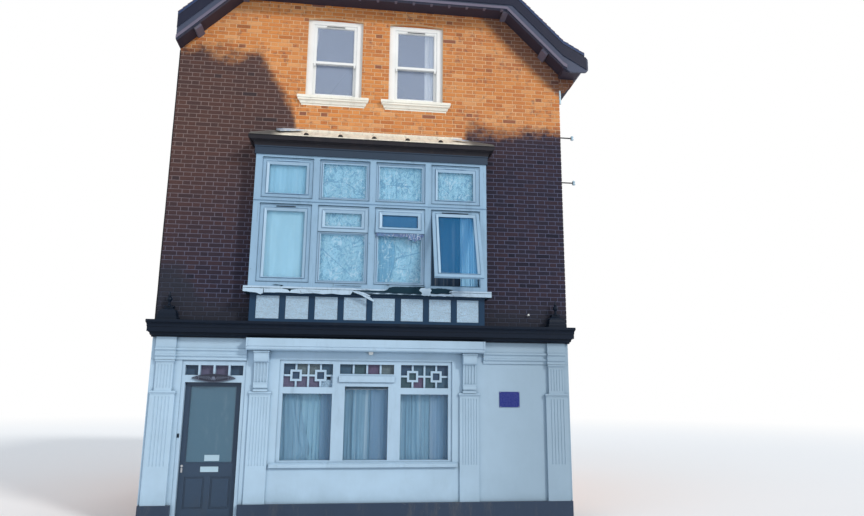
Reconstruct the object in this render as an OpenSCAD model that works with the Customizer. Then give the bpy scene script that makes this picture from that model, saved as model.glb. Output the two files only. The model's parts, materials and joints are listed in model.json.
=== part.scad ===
// Corner shop house of three storeys: brick walls, a rendered shopfront with a
// half-glazed street door, a boxed oriel of four lights on the first floor,
// two sash windows above it and a tiled roof with a half-hip at each end.
// X runs along the front, Y from the front to the back, Z up from the ground.

/* [House] */
// Width of the house across the front
house_w = 6300; // [6100:50:7000]
// Depth of the house from the front to the back
house_d = 7200; // [6400:100:9000]
// Thickness of the brick walls
wall_t = 225; // [215:5:240]
// Level of the shop floor above the ground
shop_floor_z = 60; // [40:5:80]
// Level of the first floor
first_floor_z = 2950; // [2930:5:2960]
// Level of the second floor
second_floor_z = 5900; // [5860:10:5960]
// Thickness of the timber floors
floor_t = 180; // [140:10:220]

/* [Roof] */
// Pitch of the slopes in degrees
roof_pitch = 45; // [43:0.5:46]
// Height of the soffit line where it meets the flank wall
eaves_z = 7320; // [7280:10:7360]
// Height of the soffit under the half-hip
hip_soffit_z = 8300; // [8280:10:8340]
// Height of the fascia under the half-hip
hip_fascia_h = 300; // [280:5:320]
// Thickness of rafters, boards and tiles together
slab_t = 180; // [160:5:200]
// Depth of the boxed verge, square to the slope
verge_depth = 335; // [320:5:350]
// Thickness of the tile layer
tile_t = 40; // [30:5:50]
// Overhang of the verge in front of the wall
verge_over = 300; // [260:10:340]
// Overhang of the eaves beyond the flank wall
eaves_over = 430; // [410:10:460]
// Pitch of the kicked eaves in degrees
kick_pitch = 30; // [26:1:34]
// Thickness of the bargeboards
barge_t = 40; // [30:5:45]
// Radius of the half-round gutter
gutter_r = 50; // [45:1:55]

/* [Sash windows] */
// Width of a sash window opening
sash_w = 910; // [860:10:960]
// Height of a sash window opening at its sides
sash_h = 1390; // [1340:10:1410]
// Rise of the cambered head
head_rise = 40; // [30:5:50]
// Distance of the front sash windows from the middle
sash_x = 680; // [640:10:740]
// Height of the top of the front sash window sills
top_sill_z = 6650; // [6600:10:6680]
// Height of the front box frame's set-back from the brick face
sash_set = 45; // [30:5:60]
// Width of the box frame
box_w = 120; // [100:5:130]
// Depth of the box frame
box_d = 110; // [100:5:120]
// Thickness of the glass
glass_t = 6; // [4:1:10]

/* [Oriel] */
// Width of the oriel
oriel_w = 3610; // [3500:10:3700]
// Projection of the oriel from the wall
oriel_out = 280; // [260:10:300]
// Height of the underside of the oriel frame
oriel_z = 3440; // [3430:5:3460]
// Height of the oriel frame
oriel_h = 2070; // [2050:5:2100]
// Width of the oriel's posts
post_w = 115; // [105:5:125]
// Depth of the oriel frame
post_d = 90; // [80:5:100]
// Height of the middle of the oriel transom above its foot
oriel_transom = 1330; // [1300:10:1360]
// Height of the oriel cornice
oriel_cornice_h = 150; // [130:5:170]
// Height of the plain frieze between frame and cornice
oriel_frieze_h = 130; // [110:5:150]
// Overhang of the oriel cornice
oriel_cornice_over = 125; // [110:5:140]
// Opening angle of the top-hung casement in degrees
casement_open = 20; // [10:1:24]

/* [Shopfront] */
// Height of the dark plinth
plinth_h = 330; // [300:10:350]
// Height of the top of the shopfront cornice
cornice_top = 2925; // [2915:5:2930]
// Height of the shopfront cornice
cornice_h = 240; // [220:5:250]
// Projection of the shopfront cornice
cornice_out = 250; // [240:5:270]
// Overhang of the shopfront cornice at its ends
cornice_end = 62; // [50:2:70]
// Width of the shop window
shop_w = 2610; // [2560:10:2640]
// Height of the shop window sill
shop_sill_z = 900; // [860:10:940]
// Height of the head of the shop window and the door frame
shop_head_z = 2380; // [2370:5:2390]
// Width of the glass in a side light of the shop window
side_light_w = 730; // [700:10:750]
// Width of the shop window mullions
mullion_w = 188; // [170:2:200]
// Overhang of the blind box beyond the middle of a console pilaster
blind_over = 223; // [210:1:240]
// Distance of the outer pilasters from the middle
outer_pilaster_x = 2945; // [2940:1:2955]
// Width of an outer pilaster
outer_pilaster_w = 345; // [320:5:350]
// Distance of the console pilasters from the middle
inner_pilaster_x = 1567; // [1550:1:1580]
// Width of a console pilaster
inner_pilaster_w = 300; // [280:5:320]
// Height of the astragal band on the pilasters
band_z = 1885; // [1860:5:1910]

/* [Street door] */
// Distance of the middle of the doorway from the middle of the front
door_x = 2250; // [2245:1:2255]
// Width of the doorway in the wall
doorway_w = 920; // [910:5:930]
// Width of the door leaf
leaf_w = 819; // [800:1:820]
// Height of the top of the door leaf
leaf_top = 2041; // [2030:1:2045]
// Thickness of the door leaf
leaf_t = 44; // [40:1:50]
// Set-back of the leaf's outer face from the wall face
leaf_set = 90; // [80:5:100]
// Clearance round the leaf
leaf_gap = 7; // [6.5:0.5:8]

/* [Fittings] */
// Distance of the middle of the plaque from the middle of the front
plaque_x = 2199; // [2150:1:2250]
// Width of the plaque
plaque_w = 318; // [250:1:380]
// Height of the plaque
plaque_h = 233; // [180:1:280]
// Level of the foot of the plaque
plaque_z = 1702; // [1600:1:1800]
// Level of the bell push
bell_z = 1250; // [1100:10:1500]
// Length of the bell push
bell_h = 55; // [40:1:70]
// Level of the lower line bracket
low_bracket_z = 5390; // [5200:10:5600]
// Level of the upper line bracket
high_bracket_z = 6190; // [5900:10:6500]
// Reach of the line brackets
bracket_reach = 230; // [150:10:255]
// Length of the stub of pipe under the eaves
stub_h = 240; // [150:10:400]

/* [Hidden] */

// Surface tolerance between soft pieces and their seats
soft_gap = 0.3;
blind_w = 2 * (inner_pilaster_x + blind_over);
half_w = house_w / 2;
pitch_rise = tan(roof_pitch);
pitch_cos = cos(roof_pitch);
soffit_apex = eaves_z + half_w * pitch_rise;
top_apex = soffit_apex + verge_depth / pitch_cos;
hip_edge_top = hip_soffit_z + hip_fascia_h;
tile_over = 20;
verge_front = -verge_over;
verge_back = house_d + verge_over;
eaves_top = top_apex - half_w * pitch_rise;
ridge_start = (top_apex - hip_edge_top) / pitch_rise - verge_over;
kick_rise = tan(kick_pitch);
kick_thin = 0.8;
foot_x = half_w + eaves_over;
eaves_box_z = eaves_z - 74;
fascia_x = foot_x - 2 * gutter_r - 12;

SMOOTH = 48;

// Height of a plane parallel to the main slope, drop below the tile surface
function slope_z(x, drop) = top_apex - abs(x) * pitch_rise - drop / pitch_cos;

// Height of a plane parallel to the front half-hip at distance y from the wall
function hip_z(y, drop) = hip_edge_top + (y + verge_over) * pitch_rise - drop / pitch_cos;

// Points of an arc from angle a to angle b
function arc_points(cx, cy, r, a, b, n) =
    [for (i = [0:n]) [cx + r * cos(a + (b - a) * i / n), cy + r * sin(a + (b - a) * i / n)]];

// Radius of an arc over a chord with a given rise
function arc_radius(chord, rise) = (chord * chord / 4 + rise * rise) / (2 * rise);

// Thickness of the window sills where they pass into the wall
sill_seat = 60;
// Set-back of the brick segment over a sash window behind the frame's face
head_set = 12;

// Everything is drawn from the front wall face and centred on the depth here
module from_front() {
    translate([0, -house_d / 2, 0]) children();
}

// Box between two corners
module span(a, b) {
    translate(a) cube(b - a);
}

// Outline in X and Z, extruded from y0 to y1
module upright(y0, y1) {
    translate([0, y1, 0]) rotate([90, 0, 0]) linear_extrude(y1 - y0) children();
}

// Outline in Y and Z, extruded from x0 to x1
module sideways(x0, x1) {
    translate([x0, 0, 0]) rotate([90, 0, 90]) linear_extrude(x1 - x0) children();
}

// Space below the main slopes, drop under the tile surface
module under_slopes(drop, x0, x1, y0, y1) {
    low = -100;
    upright(y0, y1)
        polygon([[x0, low], [x1, low], [x1, slope_z(x1, drop)], [0, slope_z(0, drop)],
            [x0, slope_z(x0, drop)]]);
}

// Space below the front and rear half-hips, drop under the tile surface
module under_hips(drop) {
    low = -100;
    over = verge_over + tile_over;
    mid = house_d / 2;
    reach = half_w + eaves_over + 200;
    sideways(-reach, reach)
        polygon([[-over, low], [house_d + over, low], [house_d + over, hip_z(-over, drop)],
            [mid, hip_z(mid, drop)], [-over, hip_z(-over, drop)]]);
}

// Outline of an opening with a cambered head, its foot centred on the origin
module cambered(w, h, rise) {
    r = arc_radius(w, rise);
    a = asin(w / 2 / r);
    polygon(concat([[-w / 2, 0], [w / 2, 0]],
        arc_points(0, h + rise - r, r, 90 - a, 90 + a, 12)));
}

// Quarter-round from a to b, bulging outwards; a and b are [projection, height]
function ovolo(a, b) =
    [for (i = [0:4]) [a[0] + (b[0] - a[0]) * sin(22.5 * i), a[1] + (b[1] - a[1]) * (1 - cos(22.5 * i))]];

// Quarter-hollow from a to b
function cove(a, b) =
    [for (i = [0:4]) [a[0] + (b[0] - a[0]) * (1 - cos(22.5 * i)), a[1] + (b[1] - a[1]) * sin(22.5 * i)]];

// Moulding of points [projection, height] run along the front of a box of width w,
// mitred round both ends, where it projects by side times as much
module moulded(w, face, pts, side = 1) {
    n = len(pts) - 1;
    reach = 10 * abs(pts[n][0]) + abs(face) + 100;
    intersection() {
        upright(-reach, 0) polygon(concat([for (p = pts) [w / 2 + p[0] * side, p[1]]],
            [for (i = [n:-1:0]) [-w / 2 - pts[i][0] * side, pts[i][1]]]));
        sideways(-w - reach, w + reach)
            polygon(concat([[0, pts[0][1]]], [for (p = pts) [-face - p[0], p[1]]], [[0, pts[n][1]]]));
    }
}

// Positions of the sash windows: middle, sill height and wall
FRONT_SASHES = [[-sash_x, top_sill_z], [sash_x, top_sill_z]];
// Heights of the sills: over the first floor, over the second, and below the first for the ground floor
first_sill_rise = 900;
second_sill_rise = 650;
ground_sill_drop = 2050;
rear_sills = [first_floor_z - ground_sill_drop, first_floor_z + first_sill_rise, second_floor_z + second_sill_rise];
rear_sash_x = 1500;
flank_sash_y = [2300, 5000];
flank_sill_z = first_floor_z + first_sill_rise;

// Places children on the front wall: X along it, Y into it
module on_front(x, z) {
    translate([x, 0, z]) children();
}

module on_rear(x, z) {
    translate([x, house_d, z]) rotate([0, 0, 180]) children();
}

module on_flank(y, z) {
    translate([half_w, y, z]) rotate([0, 0, 90]) children();
}

module at_front_sashes() {
    for (p = FRONT_SASHES) on_front(p[0], p[1]) children();
}

module at_rear_sashes(storeys) {
    for (s = storeys, side = [-1, 1]) on_rear(side * rear_sash_x, rear_sills[s]) children();
}

module at_flank_sashes() {
    for (y = flank_sash_y) on_flank(y, flank_sill_z) children();
}

module at_all_sashes() {
    at_front_sashes() children();
    at_rear_sashes([0, 1, 2]) children();
    at_flank_sashes() children();
}

// Hole for a sash window: a cambered reveal outside, and a flat head behind the frame's face
module sash_hole() {
    upright(-10, sash_set + head_set) cambered(sash_w, sash_h, head_rise);
    span([-sash_w / 2, sash_set, -1], [sash_w / 2, wall_t + 10, sash_h]);
    span([-sash_w / 2, -10, -sill_seat], [sash_w / 2, sash_set + box_d, 1]);
}

// FLOORS AND WALLS

module shop_floor() {
    color("sienna") span([-half_w + wall_t, wall_t, 0], [half_w - wall_t, house_d - wall_t, shop_floor_z]);
}

module upper_floor(level) {
    span([-half_w + wall_t, wall_t, level - floor_t], [half_w - wall_t, house_d - wall_t, level]);
}

module upper_floors() {
    color("burlywood") {
        upper_floor(first_floor_z);
        upper_floor(second_floor_z);
    }
}

// Space inside the roof's underside
module below_roof() {
    intersection() {
        under_slopes(slab_t, -half_w, half_w, 0, house_d);
        under_hips(slab_t);
        children();
    }
}

module party_wall() {
    color("indianred") below_roof() span([-half_w, 0, 0], [-half_w + wall_t, house_d, top_apex]);
}

module flank_wall_ground() {
    color("indianred") span([half_w - wall_t, 0, 0], [half_w, house_d, first_floor_z]);
}

module flank_wall_upper() {
    color("indianred") difference() {
        below_roof() span([half_w - wall_t, 0, first_floor_z], [half_w, house_d, top_apex]);
        at_flank_sashes() sash_hole();
    }
}

// A storey of the rear wall between the side walls
module rear_storey(z0, z1, storeys) {
    difference() {
        below_roof() span([-half_w + wall_t, house_d - wall_t, z0], [half_w - wall_t, house_d, z1]);
        at_rear_sashes(storeys) sash_hole();
    }
}

module rear_wall_ground() {
    color("indianred") rear_storey(0, first_floor_z, [0]);
}

module rear_wall_first() {
    color("indianred") rear_storey(first_floor_z, second_floor_z, [1]);
}

module rear_wall_second() {
    color("indianred") rear_storey(second_floor_z, top_apex, [2]);
}

door_left = -door_x - doorway_w / 2;
door_right = -door_x + doorway_w / 2;
front_in = half_w - wall_t;

module front_piers() {
    color("aliceblue") {
        span([-front_in, 0, 0], [door_left, wall_t, shop_head_z]);
        span([door_right, 0, 0], [-shop_w / 2, wall_t, shop_head_z]);
        span([shop_w / 2, 0, 0], [front_in, wall_t, shop_head_z]);
    }
}

module stall_riser() {
    color("aliceblue") span([-shop_w / 2, 0, 0], [shop_w / 2, wall_t, shop_sill_z - sill_h]);
}

module shopfront_lintel() {
    color("aliceblue") span([-front_in, 0, shop_head_z], [front_in, wall_t, first_floor_z]);
}

oriel_hole_w = oriel_w - 2 * post_w;
oriel_hole_z = oriel_z + 60;
oriel_hole_top = oriel_z + oriel_h - 40;

module front_wall_first() {
    color("indianred") difference() {
        span([-front_in, 0, first_floor_z], [front_in, wall_t, second_floor_z]);
        span([-oriel_hole_w / 2, -10, oriel_hole_z], [oriel_hole_w / 2, wall_t + 10, oriel_hole_top]);
    }
}

module front_wall_second() {
    color("orangered") difference() {
        below_roof() span([-front_in, 0, second_floor_z], [front_in, wall_t, top_apex]);
        at_front_sashes() sash_hole();
    }
}

// ROOF

// Plan of the two half-hips: triangles from the eaves to the ends of the ridge
module hip_plan() {
    reach = ridge_start + 2000;
    for (mid_y = [ridge_start, house_d - ridge_start]) {
        s = mid_y < house_d / 2 ? -1 : 1;
        linear_extrude(top_apex + 100)
            polygon([[0, mid_y], [reach, mid_y + s * reach], [-reach, mid_y + s * reach]]);
    }
}

// Section of the left slope, drop thick square to the slope
module left_section(drop) {
    t = drop / pitch_cos;
    polygon([[0, top_apex], [-half_w, eaves_top], [-half_w, eaves_top - t], [0, top_apex - t]]);
}

// Section of the right slope with its kicked eaves, drop thick, out to x_end
module right_section(drop, x_end) {
    t = drop / pitch_cos;
    z_end = eaves_top - (x_end - half_w) * kick_rise;
    polygon([[0, top_apex], [half_w, eaves_top], [x_end, z_end], [x_end, z_end - kick_thin * t],
        [half_w, eaves_top - t], [0, top_apex - t]]);
}

module roof_slope_left() {
    color("slategray") difference() {
        union() {
            upright(verge_front + barge_t, verge_back - barge_t) left_section(slab_t);
            upright(verge_front - tile_over, verge_back + tile_over) left_section(tile_t);
        }
        hip_plan();
    }
}

module roof_slope_right() {
    color("slategray") difference() {
        union() {
            upright(verge_front + barge_t, verge_back - barge_t) right_section(slab_t, fascia_x - barge_t / 2);
            upright(verge_front - tile_over, verge_back + tile_over) right_section(tile_t, fascia_x + gutter_r);
        }
        hip_plan();
    }
}

module roof_half_hips() {
    color("slategray") intersection() {
        union() {
            intersection() {
                difference() {
                    under_hips(0);
                    under_hips(slab_t);
                }
                span([-foot_x, verge_front + barge_t, 0], [foot_x, verge_back - barge_t, top_apex]);
            }
            difference() {
                under_hips(0);
                under_hips(tile_t);
            }
        }
        hip_plan();
        under_slopes(0, -half_w, half_w, verge_front - tile_over, verge_back + tile_over);
    }
}

ridge_r = 110;

// Half-round tiles on the ridge and down the four hips, bedded on the tiles
module ridge_tiles() {
    r = ridge_r;
    hip_r = 95;
    hip_run = ridge_start + verge_over;
    hip_len = (hip_run + tile_over) * sqrt(2 + pitch_rise * pitch_rise);
    color("dimgray") difference() {
        union() {
            translate([0, 0, top_apex - 85])
                upright(ridge_start - 60, house_d - ridge_start + 60) circle(r, $fn = SMOOTH);
            intersection() {
                at_both_ends() for (side = [-1, 1])
                    translate([0, ridge_start, top_apex - 50]) rotate([0, 0, side > 0 ? -45 : -135])
                        rotate([0, 90 + atan(pitch_rise / sqrt(2)), 0]) cylinder(r = hip_r, h = hip_len, $fn = 24);
                span([-half_w, verge_front - tile_over, 0], [half_w, verge_back + tile_over, top_apex]);
            }
        }
        intersection() {
            under_slopes(0, -half_w - 500, half_w + 500, -1000, house_d + 1000);
            hip_bed();
        }
    }
}

// Space under the half-hips alone, carried past the verges
module hip_bed() {
    mid = house_d / 2;
    out = 1000;
    sideways(-half_w - 600, half_w + 600)
        polygon([[-out, -200], [house_d + out, -200], [house_d + out, hip_z(-out, 0)], [mid, hip_z(mid, 0)],
            [-out, hip_z(-out, 0)]]);
}

// Boxing below the slab at verges, half-hips and eaves, at one gable end
module soffit_box_end() {
    y0 = verge_front + barge_t;
    intersection() {
        difference() {
            under_slopes(slab_t, -half_w, half_w, y0, 0);
            under_slopes(verge_depth, -half_w - 1, half_w + 1, y0 - 1, 1);
        }
        under_hips(slab_t);
    }
    intersection() {
        under_slopes(verge_depth, -half_w, half_w, y0, 0);
        under_hips(slab_t);
        span([-half_w, y0, hip_soffit_z], [half_w, 0, top_apex]);
    }
}

module at_both_ends() {
    children();
    translate([0, house_d, 0]) mirror([0, 1, 0]) children();
}

purlin_w = 130;
purlin_drop = 45;

// Ends of the purlins that carry each verge, under the soffit
module purlin_ends() {
    x_high = half_w - (hip_soffit_z - eaves_z) / pitch_rise;
    for (side = [-1, 1]) {
        span([side * (x_high + 20) - purlin_w / 2, verge_front + barge_t, hip_soffit_z - purlin_drop],
            [side * (x_high + 20) + purlin_w / 2, 0, hip_soffit_z + 20]);
        translate([side * (half_w - 290), 0, slope_z(half_w - 290, verge_depth)]) rotate([0, side * roof_pitch, 0])
            span([-purlin_w / 2, verge_front + barge_t, -purlin_drop], [purlin_w / 2, 0, 20]);
    }
}

module soffit_boxes() {
    color("slateblue") {
        at_both_ends() {
            soffit_box_end();
            purlin_ends();
        }
        upright(verge_front + barge_t, verge_back - barge_t) eaves_box_outline();
    }
}

module eaves_box_outline() {
    t = slab_t / pitch_cos;
    x1 = fascia_x - barge_t / 2;
    run = x1 - half_w;
    polygon([[half_w, eaves_box_z], [x1, eaves_box_z], [x1, eaves_top - run * kick_rise - kick_thin * t],
        [half_w, eaves_top - t]]);
}

// Line along the gable, drop under the tiles, level at z_hip and kicked to the foot
function gable_line(drop, z_hip, x_end) = [
    [-half_w, slope_z(half_w, drop)],
    [-(top_apex - drop / pitch_cos - z_hip) / pitch_rise, z_hip],
    [(top_apex - drop / pitch_cos - z_hip) / pitch_rise, z_hip],
    [half_w, slope_z(half_w, drop)],
    [x_end, slope_z(half_w, drop) - (x_end - half_w) * kick_rise]
];

// Band of a bargeboard between two drops under the tiles
module barge_band(drop0, z0, drop1, z1, x_end) {
    low = gable_line(drop1, z1, x_end);
    polygon(concat(gable_line(drop0, z0, x_end), [for (i = [4:-1:0]) low[i]]));
}

barge_top_z = hip_edge_top - tile_t / pitch_cos;
barge_cover = 150;
barge_bead = 52;
cover_t = 14;

// Main board with its shaped foot, the cover board along its top and the bead at its edge
module barge_end() {
    y0 = verge_front;
    y1 = verge_front + barge_t;
    upright(y0, y1) barge_outline();
    upright(y0 - cover_t, y0) barge_band(tile_t, barge_top_z - cover_t, tile_t + barge_cover,
        barge_top_z - barge_cover, foot_x - 30);
    upright(y0 - cover_t - 8, y0) barge_band(verge_depth - barge_bead, hip_soffit_z + barge_bead,
        verge_depth - 6, hip_soffit_z + 6, half_w + 60);
}

module barge_outline() {
    t = tile_t / pitch_cos;
    run = foot_x - half_w;
    low = gable_line(verge_depth, hip_soffit_z, foot_x);
    polygon(concat([for (i = [3:-1:0]) low[i]], [for (i = [0:3]) gable_line(tile_t, barge_top_z, foot_x)[i]],
        [[foot_x - 10, eaves_top - (run - 10) * kick_rise - t], [foot_x, eaves_top - run * kick_rise - t - 20],
        [foot_x, eaves_box_z + 60]], arc_points(foot_x - 60, eaves_box_z + 60, 60, 0, -90, 6),
        [[half_w + 120, eaves_box_z - 10]]));
}

module bargeboards() {
    color("darkslateblue") {
        at_both_ends() barge_end();
        fascia_top = eaves_top - (fascia_x - half_w) * kick_rise - tile_t / pitch_cos - 4;
        span([fascia_x - barge_t / 2, verge_front + barge_t, eaves_box_z],
            [fascia_x, verge_back - barge_t, fascia_top]);
    }
}

module eaves_gutter() {
    z = eaves_top - (fascia_x - half_w) * kick_rise - tile_t / pitch_cos - 75;
    color("black") translate([fascia_x + gutter_r, 0, z]) difference() {
        upright(verge_front + barge_t, verge_back - barge_t) circle(gutter_r, $fn = SMOOTH);
        upright(verge_front + barge_t + 4, verge_back - barge_t - 4) circle(gutter_r - 4, $fn = SMOOTH);
        span([-gutter_r - 1, verge_front, 0], [gutter_r + 1, verge_back, gutter_r + 1]);
    }
}

corbel_steps = 3;
corbel_out = 270;
course_h = 72;
corbel_foot_z = eaves_box_z - corbel_steps * course_h;

// Brick kneelers corbelled out under the right eaves, a course at a time
module kneelers() {
    color("indianred") at_both_ends() upright(0, wall_t) polygon(concat(
        [[half_w, eaves_box_z], [half_w, corbel_foot_z]],
        [for (i = [0:corbel_steps - 1], k = [0, 1])
            [half_w + (i + 1) * corbel_out / corbel_steps,
                corbel_foot_z + (i + k) * course_h]]));
}

// ORIEL

oriel_y = -oriel_out;
oriel_top = oriel_z + oriel_h;
post_pitch = (oriel_w - post_w) / 4;
foot_rail_h = 80;
head_rail_h = 55;
transom_h = 110;
transom_z = oriel_z + oriel_transom - transom_h / 2;
light_w = post_pitch - post_w;

// Left edge of a light, counted from the left
function light_x(i) = -oriel_w / 2 + post_w + i * post_pitch;

module oriel_frame() {
    y1 = oriel_y + post_d;
    color("white") {
        difference() {
            span([-oriel_w / 2, oriel_y, oriel_z], [oriel_w / 2, y1, oriel_top]);
            for (i = [0:3]) {
                x = light_x(i);
                light_hole(x, oriel_z + foot_rail_h, transom_z, y1);
                light_hole(x, transom_z + transom_h, oriel_top - head_rail_h, y1);
            }
        }
        // Weathered drip along the transom
        sideways(-oriel_w / 2, oriel_w / 2) polygon([[oriel_y, transom_z + transom_h - 26],
            [oriel_y - 18, transom_z + transom_h - 44], [oriel_y - 18, transom_z + transom_h - 54],
            [oriel_y, transom_z + transom_h - 54]]);
        for (side = [-1, 1]) {
            x0 = side > 0 ? oriel_w / 2 - 50 : -oriel_w / 2;
            span([x0, y1, oriel_z], [x0 + 50, 0, oriel_top]);
        }
    }
}

// Opening for a light with a stepped face
module light_hole(x, z0, z1, y1) {
    lap = 10;
    span([x, oriel_y - 1, z0], [x + light_w, y1 + 1, z1]);
    span([x - lap, oriel_y - 1, z0 - lap], [x + light_w + lap, casement_y - 4, z1 + lap]);
}

// A glazed casement: rails of width rail round an opening, from x, z with size w, h
module casement(x, z, w, h, rail, y0, d) {
    bead = 12;
    difference() {
        span([x, y0, z], [x + w, y0 + d, z + h]);
        span([x + rail, y0 - 1, z + rail], [x + w - rail, y0 + d + 1, z + h - rail]);
        span([x + rail - bead, y0 - 1, z + rail - bead], [x + w - rail + bead, y0 + 8, z + h - rail + bead]);
    }
}

casement_rail = 60;
casement_d = 50;
casement_y = oriel_y + 12;
fixed_rail = 34;
vent_h = 400;
vent_gap = 6;
vent_open = 6;
lower_z = oriel_z + foot_rail_h;
lower_h = transom_z - lower_z;
vent_z = lower_z + lower_h - vent_h;
upper_z = transom_z + transom_h;
upper_h = oriel_top - head_rail_h - upper_z;

module oriel_casements() {
    color("white") {
        for (i = [0, 3]) casement(light_x(i), upper_z, light_w, upper_h, casement_rail, casement_y, casement_d);
        for (i = [1, 2]) casement(light_x(i), upper_z, light_w, upper_h, fixed_rail, casement_y + 10, casement_d);
        casement(light_x(0), lower_z, light_w, lower_h, casement_rail, casement_y, casement_d);
        for (i = [1, 2])
            casement(light_x(i), lower_z, light_w, lower_h - vent_h, fixed_rail, casement_y + 10, casement_d);
        casement(light_x(1), vent_z, light_w, vent_h, casement_rail, casement_y, casement_d);
        open_vent_pose() casement(light_x(2), vent_z + vent_gap, light_w, vent_h - vent_gap, casement_rail,
            casement_y, casement_d);
        trickle_vent(0, transom_z - 46);
        for (i = [0, 3]) trickle_vent(i, oriel_top - head_rail_h - 42);
    }
}

// Slot vent cover on the head of a light
module trickle_vent(i, z) {
    w = 330;
    x = light_x(i) + light_w / 2;
    span([x - w / 2, casement_y - 9, z], [x + w / 2, casement_y, z + 22]);
}

casement_gap = 6;

// Places the vent that stands a little open, hung from the transom
module open_vent_pose() {
    z = lower_z + lower_h;
    translate([0, casement_y, z]) rotate([-vent_open, 0, 0]) translate([0, -casement_y, -z]) children();
}

// Places the top-hung casement at its opening angle, its top edge on the transom
module open_casement_pose() {
    z = lower_z + lower_h;
    translate([0, casement_y, z]) rotate([-casement_open, 0, 0]) translate([0, -casement_y, -z]) children();
}

module oriel_open_casement() {
    gap = casement_gap;
    color("white") open_casement_pose()
        casement(light_x(3) + gap, lower_z + gap, light_w - 2 * gap, lower_h - gap, casement_rail,
            casement_y, casement_d);
}

module pane(x, z, w, h, rail, y) {
    span([x + rail, y, z + rail], [x + w - rail, y + glass_t, z + h - rail]);
}

module oriel_glass() {
    y = casement_y + 24;
    gap = casement_gap;
    color("lightblue") {
        for (i = [0, 3]) pane(light_x(i), upper_z, light_w, upper_h, casement_rail, y);
        for (i = [1, 2]) pane(light_x(i), upper_z, light_w, upper_h, fixed_rail, y);
        pane(light_x(0), lower_z, light_w, lower_h, casement_rail, y);
        for (i = [1, 2]) pane(light_x(i), lower_z, light_w, lower_h - vent_h, fixed_rail, y);
        pane(light_x(1), vent_z, light_w, vent_h, casement_rail, y);
        open_vent_pose() pane(light_x(2), vent_z + vent_gap, light_w, vent_h - vent_gap, casement_rail, y);
        open_casement_pose() pane(light_x(3) + gap, lower_z + gap, light_w - 2 * gap, lower_h - gap,
            casement_rail, y);
    }
}

frieze_step = 22;

// Frieze and cornice over the oriel, mitred round three sides
module oriel_cornice() {
    k = oriel_cornice_over;
    h = oriel_cornice_h;
    z1 = oriel_top + oriel_frieze_h;
    color("black") moulded(oriel_w, oriel_out, concat([[0, oriel_top], [frieze_step, oriel_top],
        [frieze_step, z1 - 16], [frieze_step + 10, z1 - 16], [frieze_step + 10, z1]],
        cove([frieze_step + 10, z1], [0.55 * k, z1 + 0.42 * h]),
        [[0.62 * k, z1 + 0.42 * h], [0.62 * k, z1 + 0.5 * h]],
        ovolo([0.66 * k, z1 + 0.5 * h], [0.92 * k, z1 + 0.72 * h]),
        [[k, z1 + 0.72 * h], [k, z1 + h], [0, z1 + h]]));
}

oriel_roof_z = oriel_top + oriel_frieze_h + oriel_cornice_h;
lead_rise = 240;
lead_edge = 14;
lead_top_w = 2920;
roll_count = 5;
roll_pitch = 528;
roll_r = 20;

// Lead sheets on the falling roof of the oriel, with wood-cored rolls, hips and a flashing
module oriel_lead_roof() {
    over = oriel_cornice_over - 10;
    w = oriel_w / 2 + over;
    y = oriel_y - over;
    fall = atan((lead_rise - lead_edge) / -y);
    run = sqrt(y * y + (lead_rise - lead_edge) * (lead_rise - lead_edge));
    hip_x = w - lead_top_w / 2;
    hip_turn = atan(-y / hip_x);
    hip_run = sqrt(hip_x * hip_x + y * y);
    hip_fall = atan((lead_rise - lead_edge) / hip_run);
    color("gainsboro") translate([0, 0, oriel_roof_z]) intersection() {
        union() {
            intersection() {
                sideways(-w, w) polygon([[y, 0], [0, 0], [0, lead_rise], [y, lead_edge]]);
                upright(y, 0) polygon([[-w, 0], [w, 0], [w, lead_edge], [lead_top_w / 2, lead_rise],
                    [-lead_top_w / 2, lead_rise], [-w, lead_edge]]);
            }
            for (i = [0:roll_count - 1])
                translate([(i - (roll_count - 1) / 2) * roll_pitch, y + 18, lead_edge + 4]) rotate([fall - 90, 0, 0]) {
                    cylinder(r = roll_r, h = run, $fn = 16);
                    cylinder(r = roll_r + 16, h = 46, $fn = 16);
                }
            for (side = [-1, 1])
                translate([side * (w - 20), y + 20, lead_edge]) rotate([0, 0, side > 0 ? 180 - hip_turn : hip_turn])
                    rotate([0, 90 - hip_fall, 0]) cylinder(r = roll_r, h = hip_run, $fn = 16);
            span([-lead_top_w / 2, -26, lead_rise - 40], [lead_top_w / 2, 0, lead_rise + 26]);
        }
        span([-w, y, 0], [w, 0, lead_rise + 100]);
    }
}

sill_t = 60;

nosing_t = 26;
sill_end = 60;
sill_out = 45;

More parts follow.
